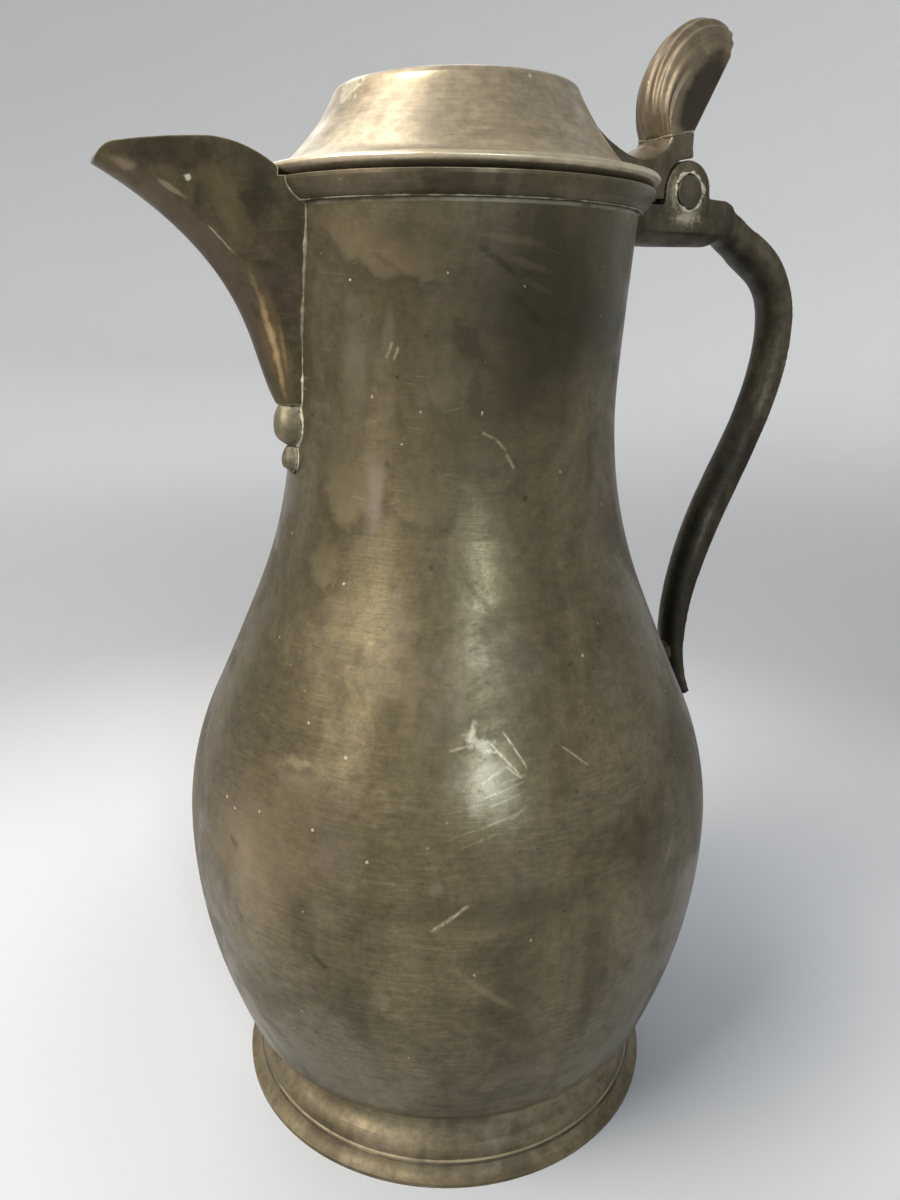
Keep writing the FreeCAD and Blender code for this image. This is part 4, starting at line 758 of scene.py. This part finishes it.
def softenWhere(mesh, passes, chosen):  # rounds off one part of a mesh
    built = bmesh.new()
    built.from_mesh(mesh)
    part = [vertex for vertex in built.verts if chosen(vertex.co / mm)]
    for _ in range(passes):
        bmesh.ops.smooth_vert(built, verts=part, factor=0.5, use_axis_x=True, use_axis_y=True, use_axis_z=True)
    built.to_mesh(mesh)
    built.free()


def handleWear(point, normal):
    values = handleValues
    worn = normal * ripple(point, values["wornSize"], 5) * values["worn"]
    inner = smooth(-0.7 * (normal.x + normal.z), 0.0, 0.7)
    worn += normal * values["insideFill"] * closeTo(point, values["insidePlace"], values["insideReach"]) * inner
    corner = closeTo(point, values["cornerPlace"], values["cornerReach"])
    under = (1 - smooth(point.z, values["edgeTop"], values["edgeTop"] + 3)) * (1 if point.z > 200 else 0)
    front = 1 - smooth(point.x, values["edgeBack"], values["edgeBack"] + 4)
    join = closeTo(point, values["joinDropPlace"], values["joinDropReach"]) * smooth(-normal.z, -0.2, 0.4)
    over = max(abs(point.y) - values["strapSide"], 0) * smooth(point.x, values["taperFront"], values["taperBack"])
    return worn + Vector((values["cornerOut"] * corner, -math.copysign(over, point.y),
                          -values["edgeDrop"] * under * front - values["joinDrop"] * join))


handleFinish = pewterMaterial("handleFinish", handleLook)
handleMesh = castCopy("strapHandle", ["handle"], handleValues["voxel"], handleValues["passes"])
softenWhere(handleMesh, handleValues["edgePasses"],
            lambda point: 200 < point.z < handleValues["edgeTop"] and point.x < handleValues["edgeBack"])
softenWhere(handleMesh, handleValues["joinPasses"],
            lambda point: closeTo(point, handleValues["joinPlace"], handleValues["joinReach"]) > 0)
shiftPoints(handleMesh, handleWear)
handle = newPiece("strapHandle", handleMesh, handleFinish, "vessel", "handle_pewter", "handle")
dress("handle_strut", handleFinish)
dress("hinge_pin", pewterMaterial("pinFinish", pinLook))
print("handle shaped")


# The spout and the two drops under it

def spoutStain(shift, height, tilt, halfLength, halfWidth, share, colour, **looks):
    shape = {"Azimuth": -117.0, "Height": height, "Shift": shift, "Tilt": tilt, "Half Length": halfLength,
             "Half Width": halfWidth, "Softness": 0.6, "Raggedness": 1.0, "Grain": 0.3, **looks}
    return {"shape": shape, "share": share, "tint": tint(*colour)}


spoutLook = {
    "dark": tint(50, 43, 27), "mid": tint(72, 63, 43), "light": tint(104, 91, 62), "film": tint(84, 70, 58),
    "wearTint": tint(186, 168, 128), "wearShare": 0.75, "roughness": 0.38, "streakStretch": (1.0, 1.0, 0.2),
    "hairShare": 0.06, "lineTone": 0.0, "speckSpacing": 9.0, "mottle": 0.22,
    "patches": (
        spoutStain(-44.0, 238.0, 70.0, 13.0, 4.0, 0.6, (36, 31, 21), Softness=0.8, Raggedness=1.2),
        spoutStain(-60.0, 247.5, 0.0, 12.0, 3.6, 0.5, (38, 33, 22), Softness=0.5, Raggedness=1.8, Grain=0.2),
        spoutStain(-50.0, 238.5, -60.0, 11.0, 4.0, 0.35, (102, 88, 58), Softness=0.5, Raggedness=1.4, Grain=0.12),
        spoutStain(-59.0, 234.0, -46.0, 17.0, 3.6, 0.55, (88, 75, 64), Softness=0.35, Raggedness=0.9),
        spoutStain(-46.5, 211.0, -72.0, 15.0, 2.4, 0.6, (80, 67, 56), Softness=0.35, Raggedness=0.8),
        spoutStain(-42.0, 209.0, -80.0, 17.0, 3.8, 0.5, (124, 103, 68), Softness=0.95, Raggedness=1.0),
        spoutStain(-43.2, 213.0, -76.0, 9.0, 1.2, 0.6, (182, 152, 108), Softness=0.95, Raggedness=1.6, Grain=0.4),
        spoutStain(-41.6, 205.0, -81.0, 11.0, 1.0, 0.6, (186, 156, 112), Softness=0.95, Raggedness=1.6, Grain=0.4),
        spoutStain(-40.0, 207.0, -84.0, 9.0, 0.7, 0.45, (152, 126, 86), Softness=0.95, Raggedness=1.6, Grain=0.5),
        spoutStain(-45.0, 220.0, -70.0, 6.0, 1.0, 0.4, (150, 126, 90), Softness=0.95, Raggedness=1.8, Grain=0.5),
        spoutStain(-70.5, 245.2, -22.0, 4.5, 1.6, 0.5, (146, 130, 102), Softness=0.9, Raggedness=1.4, Grain=0.3),
        spoutStain(-57.4, 242.8, 0.0, 0.9, 0.8, 0.85, (200, 192, 166), Raggedness=1.6, Grain=0.9),
        spoutStain(-61.0, 240.6, -33.0, 3.8, 0.8, 0.6, (140, 126, 104), Softness=0.5, Raggedness=1.2),
    ),
    "marks": (
        {"Azimuth": -117.0, "Height": 231.0, "Shift": -52.0, "Tilt": -48.0, "Length": 8.5, "Width": 0.35,
         "Strength": 0.7},
    ),
}
spoutFinish = pewterMaterial("spoutFinish", spoutLook)
dress("spout", spoutFinish)
dropLook = {**spoutLook, "dark": tint(74, 66, 48), "mid": tint(106, 98, 76), "light": tint(142, 132, 106),
            "dirtShare": 0.9, "dirtReach": 2.0, "grimeShare": 0.5, "patches": (), "marks": (), "roughness": 0.55,
            "metallic": 0.55}
dropValues = {"voxel": 0.25, "passes": 5, "unevenSize": 2.6, "uneven": 0.22}


def dropShape(point, normal):
    return normal * (ripple(point, dropValues["unevenSize"], 3) - 0.3) * dropValues["uneven"]


dropFinish = pewterMaterial("dropFinish", dropLook)
for nodeName, name in (("spout_upper_drop", "upperDrop"), ("spout_lower_drop", "lowerDrop")):
    mesh = castCopy(name, [nodeName], dropValues["voxel"], dropValues["passes"])
    shiftPoints(mesh, dropShape)
    newPiece(name, mesh, dropFinish, "vessel", "spout_pewter", nodeName)
print("spout finished")


# The ribbed thumbpiece

thumbLook = {
    "dark": tint(96, 84, 66), "mid": tint(134, 120, 97), "light": tint(174, 160, 130), "lineTone": 0.0,
    "streakStretch": (1.0, 1.0, 0.3), "wearRadius": 0.5, "wearShare": 0.7, "wearTint": tint(222, 206, 170),
    "dirtShare": 0.0, "lineHeight": 0.0, "lineShare": 0.0, "roughness": 0.38, "hairShare": 0.1,
    "grimeShare": 0.75, "grimeReach": 1.6,
    # painted shade: the hollow web on each side of the thumbpiece darkened
    "patches": tuple(
        {"shape": {"Azimuth": side * 90.0, "Height": 270.8, "Shift": -side * 70.2, "Tilt": -side * 62.0,
                   "Half Length": 14.0, "Half Width": 6.2, "Softness": 0.35, "Raggedness": 0.3},
         "share": 0.88, "tint": tint(44, 39, 31)} for side in (-1, 1)),
}
thumbFinish = pewterMaterial("thumbFinish", thumbLook)
dress("thumbpiece", thumbFinish)
print("thumbpiece finished")


# Solder lines, deposits and blobs, laid along seams that are found on the solids themselves

def surfaceOf(*nodeNames):
    points, faces = [], []
    for nodeName in nodeNames:
        mesh = nodes[nodeName].data
        start = len(points)
        points += [vertex.co / mm for vertex in mesh.vertices]
        faces += [[start + place for place in face.vertices] for face in mesh.polygons]
    return BVHTree.FromPolygons(points, faces)


def inward(azimuth):
    angle = math.radians(azimuth)
    return Vector((-math.cos(angle), -math.sin(angle), 0))


def radiusOn(surface, azimuth, height, reach=110.0):  # how far out a surface lies, or nothing where it isn't met
    direction = inward(azimuth)
    hit = surface.ray_cast(Vector((0, 0, height)) - direction * reach, direction, reach)[0]
    return math.hypot(hit.x, hit.y) if hit else None


def solderBead(name, path, thickness, sides=7, seed=1, flat=1.0, closed=False, rough=0.5, gaps=0.0):
    # a run of solder: a soft uneven tube in millimetres that thins out at its ends
    built = bmesh.new()
    rings = []
    count = len(path)
    for place, point in enumerate(path):
        before = path[place - 1] if place or closed else path[0]
        after = path[(place + 1) % count] if place < count - 1 or closed else path[-1]
        ahead = (after - before).normalized()
        side = ahead.cross(Vector((0, 0, 1)) if abs(ahead.z) < 0.9 else Vector((1, 0, 0))).normalized()
        rise = side.cross(ahead)
        end = 1.0 if closed else min(1.0, 0.25 + 4 * min(place, count - 1 - place) / count)
        patchy = 1 - gaps * smooth(ripple(point, 5.0, seed + 11), 0.0, 0.35)
        size = thickness * end * patchy * (1 + rough * ripple(point, 1.3, seed) + rough * ripple(point, 4.0, seed + 5))
        rings.append([built.verts.new((point + (side * math.cos(2 * math.pi * part / sides) * flat
                                                + rise * math.sin(2 * math.pi * part / sides)) * size) * mm)
                      for part in range(sides)])
    pairs = list(zip(rings, rings[1:])) + ([(rings[-1], rings[0])] if closed else [])
    for first, second in pairs:
        for part in range(sides):
            following = (part + 1) % sides
            built.faces.new((first[part], first[following], second[following], second[part]))
    if not closed:
        built.faces.new(rings[0])
        built.faces.new(rings[-1])
    bmesh.ops.recalc_face_normals(built, faces=built.faces)
    mesh = bpy.data.meshes.new(name)
    built.to_mesh(mesh)
    built.free()
    return mesh


solderValues = {
    "seamLow": 179.0, "seamHigh": 241.5, "seamStep": 0.6, "seamThickness": 0.5, "crustTop": 206.0, "crustThickness": 0.45, "spoutAzimuth": 175.0,
    "seamReach": 24.0, "halvings": 14, "proud": 0.02, "bandHeight": 238.95, "bandRadius": 45.0,
    "bandThickness": 0.2, "bandSteps": 420,
    "pinAcross": 68.6, "pinHeight": 247.5, "pinRingRadius": 4.75, "pinRingThickness": 0.5, "earFace": 7.05,
    "ringSteps": 90, "lugFace": 7.0, "lugStart": 33.5, "lugEnd": 46.0, "lugThickness": 0.22,
    "footBack": 68.6, "footFront": 61.2, "footHeight": 260.4, "footSlope": 0.2437, "footLift": 0.25,
    "footSteps": 40, "footThickness": 0.45,
    "strutHeight": 112.5, "strutRadius": 3.3, "strutThickness": 0.8,
}
solderLook = {
    "dark": tint(92, 85, 66), "mid": tint(124, 116, 95), "light": tint(162, 154, 130), "cloudScale": 0.3,
    "lineTone": 0.0,
    "wearShare": 0.0, "lineHeight": 0.0, "lineShare": 0.0, "roughness": 0.55, "metallic": 0.45, "pits": 0.06,
}


def spoutSeam(surface, body, side):  # where the spout and its drops meet the neck, on one side
    values = solderValues
    path = []
    height = values["seamLow"]
    while height < values["seamHigh"]:
        inside, outside = 0.0, values["seamReach"]
        for _ in range(values["halvings"]):
            middle = (inside + outside) / 2
            azimuth = values["spoutAzimuth"] + side * middle
            wall = radiusOn(body, azimuth, height) or 0
            piece = radiusOn(surface, azimuth, height)
            if piece is not None and piece > wall:
                inside = middle
            else:
                outside = middle
        azimuth = values["spoutAzimuth"] + side * inside
        wall = radiusOn(body, azimuth, height)
        path.append(Vector((0, 0, height)) - inward(azimuth) * (wall + values["proud"]))
        height += values["seamStep"]
    return path


chalkLook = {**solderLook, "dark": tint(136, 128, 108), "mid": tint(176, 168, 146), "light": tint(212, 205, 184),
             "roughness": 0.8, "metallic": 0.1}
solderFinish = pewterMaterial("solderFinish", solderLook)
chalkFinish = pewterMaterial("chalkFinish", chalkLook)
bodySurface = surfaceOf("upper_body", "lower_body", "mouth_band")
spoutSurface = surfaceOf("spout", "spout_upper_drop", "spout_lower_drop")
for side, word in ((1, "Near"), (-1, "Far")):
    path = spoutSeam(spoutSurface, bodySurface, side)
    seam = [point for point in path if point.z > solderValues["crustTop"]]
    mesh = solderBead("spoutSeam" + word, seam, solderValues["seamThickness"], seed=3 + side, rough=0.8, gaps=0.35)
    newPiece("spoutSeam" + word, mesh, solderFinish, "vessel", "spout_pewter")
    crust = [point for point in path if point.z <= solderValues["crustTop"]]
    mesh = solderBead("dropCrust" + word, crust, solderValues["crustThickness"], seed=7 + side, rough=1.0, gaps=0.3)
    newPiece("dropCrust" + word, mesh, chalkFinish, "vessel", "spout_pewter")


def circlePath(centre, radius, first, second, steps, wobble=0.0, seed=0):
    path = []
    for step in range(steps):
        angle = 2 * math.pi * step / steps
        spot = first * math.cos(angle) + second * math.sin(angle)
        path.append(centre + spot * (radius + wobble * ripple(spot * 3, 1.0, seed)))
    return path


values = solderValues
bandPath = circlePath(Vector((0, 0, values["bandHeight"])), values["bandRadius"], Vector((1, 0, 0)),
                      Vector((0, 1, 0)), values["bandSteps"])
newPiece("bandSeam", solderBead("bandSeam", bandPath, values["bandThickness"], seed=21, closed=True, gaps=0.85),
         solderFinish, "vessel", "body_pewter")
for side, word in ((-1, "Near"), (1, "Far")):
    centre = Vector((values["pinAcross"], side * values["earFace"], values["pinHeight"]))
    path = circlePath(centre, values["pinRingRadius"], Vector((1, 0, 0)), Vector((0, 0, 1)),
                      values["ringSteps"], 0.4, 8)
    mesh = solderBead("pinDeposit" + word, path, values["pinRingThickness"], seed=31 + side, closed=True, rough=0.9)
    newPiece("pinDeposit" + word, mesh, chalkFinish, "vessel", "pin_pewter")

lidSurface = surfaceOf("lid_shell")
for side, word in ((-1, "Near"), (1, "Far")):
    path = []
    steps = 36
    for step in range(steps):
        across = values["lugStart"] + (values["lugEnd"] - values["lugStart"]) * step / (steps - 1)
        start = Vector((across, side * (values["lugFace"] + 0.1), 290.0))
        path.append(lidSurface.ray_cast(start, Vector((0, 0, -1)), 60.0)[0])
    mesh = solderBead("lugSeam" + word, path, values["lugThickness"], seed=41 + side, rough=0.5)
    newPiece("lugSeam" + word, mesh, solderFinish, "lid", "lid_pewter")

thumbSurface = surfaceOf("thumbpiece")
foot = []
for side in (-1, 1):  # back to front on one side, then front to back on the other
    run = []
    for step in range(values["footSteps"]):
        across = values["footBack"] + (values["footFront"] - values["footBack"]) * step / (values["footSteps"] - 1)
        height = values["footHeight"] + (across - values["footFront"]) * values["footSlope"] + values["footLift"]
        found = thumbSurface.ray_cast(Vector((across, side * 14.0, height)), Vector((0, -side, 0)), 14.0)[0]
        if found:
            run.append(found)
    foot += run if side < 0 else run[::-1]
mesh = solderBead("thumbSolder", foot, values["footThickness"], seed=61, rough=0.9, gaps=0.4)
newPiece("thumbSolder", mesh, solderFinish, "lid", "thumbpiece_pewter")

strutBody = radiusOn(bodySurface, 0.0, values["strutHeight"])
path = circlePath(Vector((strutBody + 0.3, 0, values["strutHeight"])), values["strutRadius"],
                  Vector((0, 1, 0)), Vector((-0.35, 0, 1)), values["ringSteps"], 0.5, 9)
newPiece("strutSolder", solderBead("strutSolder", path, values["strutThickness"], seed=51, closed=True, rough=0.7),
         solderFinish, "vessel", "handle_pewter")
print("solder laid")


# Floor, light and camera

stageValues = {
    "floorRadius": 1.3, "sweepRadius": 1.2, "sweepHeight": 2.2, "rings": 12, "segments": 96,
    "nearTint": tint(184, 186, 189), "paleTint": tint(196, 197, 199), "farTint": tint(166, 167, 170),
    "wallTint": tint(246, 247, 248), "nearRadius": 90.0, "paleRadius": 190.0, "farRadius": 420.0,
    "wallRadius": 1900.0,
    "floorRoughness": 0.9,
}


def buildFloor():  # a pale floor that curves up all round at a distance
    values = stageValues
    outline = [(values["floorRadius"] / 3, 0.0), (values["floorRadius"], 0.0)]
    for step in range(1, values["rings"] + 1):
        angle = math.pi / 2 * step / values["rings"]
        outline.append((values["floorRadius"] + values["sweepRadius"] * math.sin(angle),
                        values["sweepHeight"] * (1 - math.cos(angle))))
    built = bmesh.new()
    rows = []
    for radius, height in outline:
        rows.append([built.verts.new((radius * math.cos(2 * math.pi * part / values["segments"]),
                                      radius * math.sin(2 * math.pi * part / values["segments"]), height))
                     for part in range(values["segments"])])
    built.faces.new(rows[0])
    for lower, upper in zip(rows, rows[1:]):
        for part in range(values["segments"]):
            following = (part + 1) % values["segments"]
            built.faces.new((lower[part], lower[following], upper[following], upper[part]))
    bmesh.ops.recalc_face_normals(built, faces=built.faces)
    mesh = bpy.data.meshes.new("floor")
    built.to_mesh(mesh)
    built.free()
    mesh.shade_smooth()
    floor = bpy.data.objects.new("floor", mesh)
    bpy.context.scene.collection.objects.link(floor)
    material = bpy.data.materials.new("paleFloor")
    material.use_nodes = True
    bench = Bench(material.node_tree)
    reach = bench.vector("LENGTH", bench.place())
    pale = bench.mix(bench.ramp(reach, values["nearRadius"], values["paleRadius"]), values["nearTint"],
                     values["paleTint"])
    shader = material.node_tree.nodes["Principled BSDF"]
    far = bench.ramp(reach, values["paleRadius"], values["farRadius"])
    colour = bench.mix(far, pale, values["farTint"])
    wall = bench.ramp(reach, values["farRadius"], values["wallRadius"])
    bench.feed(shader.inputs["Base Color"], bench.mix(wall, colour, values["wallTint"]))
    shader.inputs["Roughness"].default_value = values["floorRoughness"]
    mesh.materials.append(material)


lightValues = (
    {"name": "keyPanel", "azimuth": 186.0, "rise": 42.0, "far": 1.0, "size": (0.6, 0.7), "power": 15.0,
     "tint": (1.0, 0.95, 0.88)},
    {"name": "stripPanel", "azimuth": -103.0, "rise": 25.0, "far": 1.0, "size": (0.1, 0.42), "power": 3.8,
     "tint": (0.74, 0.87, 1.0)},
    {"name": "topPanel", "azimuth": 122.0, "rise": 62.0, "far": 1.2, "size": (0.6, 0.6), "power": 3.0,
     "tint": (1.0, 0.98, 0.95)},
    {"name": "backPanel", "azimuth": 75.0, "rise": 32.0, "far": 1.4, "size": (0.8, 0.8), "power": 3.5,
     "tint": (0.97, 0.98, 1.0)},
)
aimHeight = 0.14
worldValues = {"brightAzimuth": 120.0, "dim": tint(120, 119, 116), "bright": tint(232, 233, 234), "strength": 0.7}


def buildLights():
    for values in lightValues:
        azimuth, rise = math.radians(values["azimuth"]), math.radians(values["rise"])
        direction = Vector((math.cos(azimuth) * math.cos(rise), math.sin(azimuth) * math.cos(rise), math.sin(rise)))
        light = bpy.data.lights.new(values["name"], "AREA")
        light.shape = "RECTANGLE"
        light.size, light.size_y = values["size"]
        light.energy = values["power"]
        light.color = values["tint"]
        panel = bpy.data.objects.new(values["name"], light)
        panel.matrix_world = (Matrix.Translation(Vector((0, 0, aimHeight)) + direction * values["far"])
                              @ direction.to_track_quat("Z", "Y").to_matrix().to_4x4())
        bpy.context.scene.collection.objects.link(panel)
    world = bpy.data.worlds.new("studio")
    bpy.context.scene.world = world
    world.use_nodes = True
    bench = Bench(world.node_tree)
    heading = math.radians(worldValues["brightAzimuth"])
    toward = bench.vector("DOT_PRODUCT", bench.put("TexCoord").outputs["Generated"],
                          (math.cos(heading), math.sin(heading), 0.0))
    glow = bench.mix(bench.ramp(toward, -0.9, 0.7), worldValues["dim"], worldValues["bright"])
    world.node_tree.links.new(glow, world.node_tree.nodes["Background"].inputs["Color"])
    world.node_tree.nodes["Background"].inputs["Strength"].default_value = worldValues["strength"]


cameraValues = {
    "place": (-0.1257, -0.2177, 0.2190), "heading": 60.0, "pitch": 17.44, "roll": 0.70,
    "lens": 28.82, "sensor": 36.0, "shiftUp": 0.0015, "nearest": 0.01,
}


def buildCamera():
    values = cameraValues
    heading, pitch, roll = (math.radians(values[name]) for name in ("heading", "pitch", "roll"))
    ahead = Vector((math.cos(heading) * math.cos(pitch), math.sin(heading) * math.cos(pitch), -math.sin(pitch)))
    level = Vector((math.sin(heading), -math.cos(heading), 0))
    upright = level.cross(ahead)
    right = level * math.cos(roll) + upright * math.sin(roll)
    top = upright * math.cos(roll) - level * math.sin(roll)
    data = bpy.data.cameras.new("camera")
    data.lens = values["lens"]
    data.sensor_width = values["sensor"]
    data.shift_y = values["shiftUp"]
    data.clip_start = values["nearest"]
    camera = bpy.data.objects.new("camera", data)
    turn = Matrix((right, top, -ahead)).transposed().to_4x4()
    camera.matrix_world = Matrix.Translation(values["place"]) @ turn
    bpy.context.scene.collection.objects.link(camera)
    bpy.context.scene.camera = camera


buildFloor()
buildLights()
buildCamera()
bpy.context.scene.view_settings.view_transform = "Standard"
print("stage, lights and camera set")

bpy.context.view_layer.update()
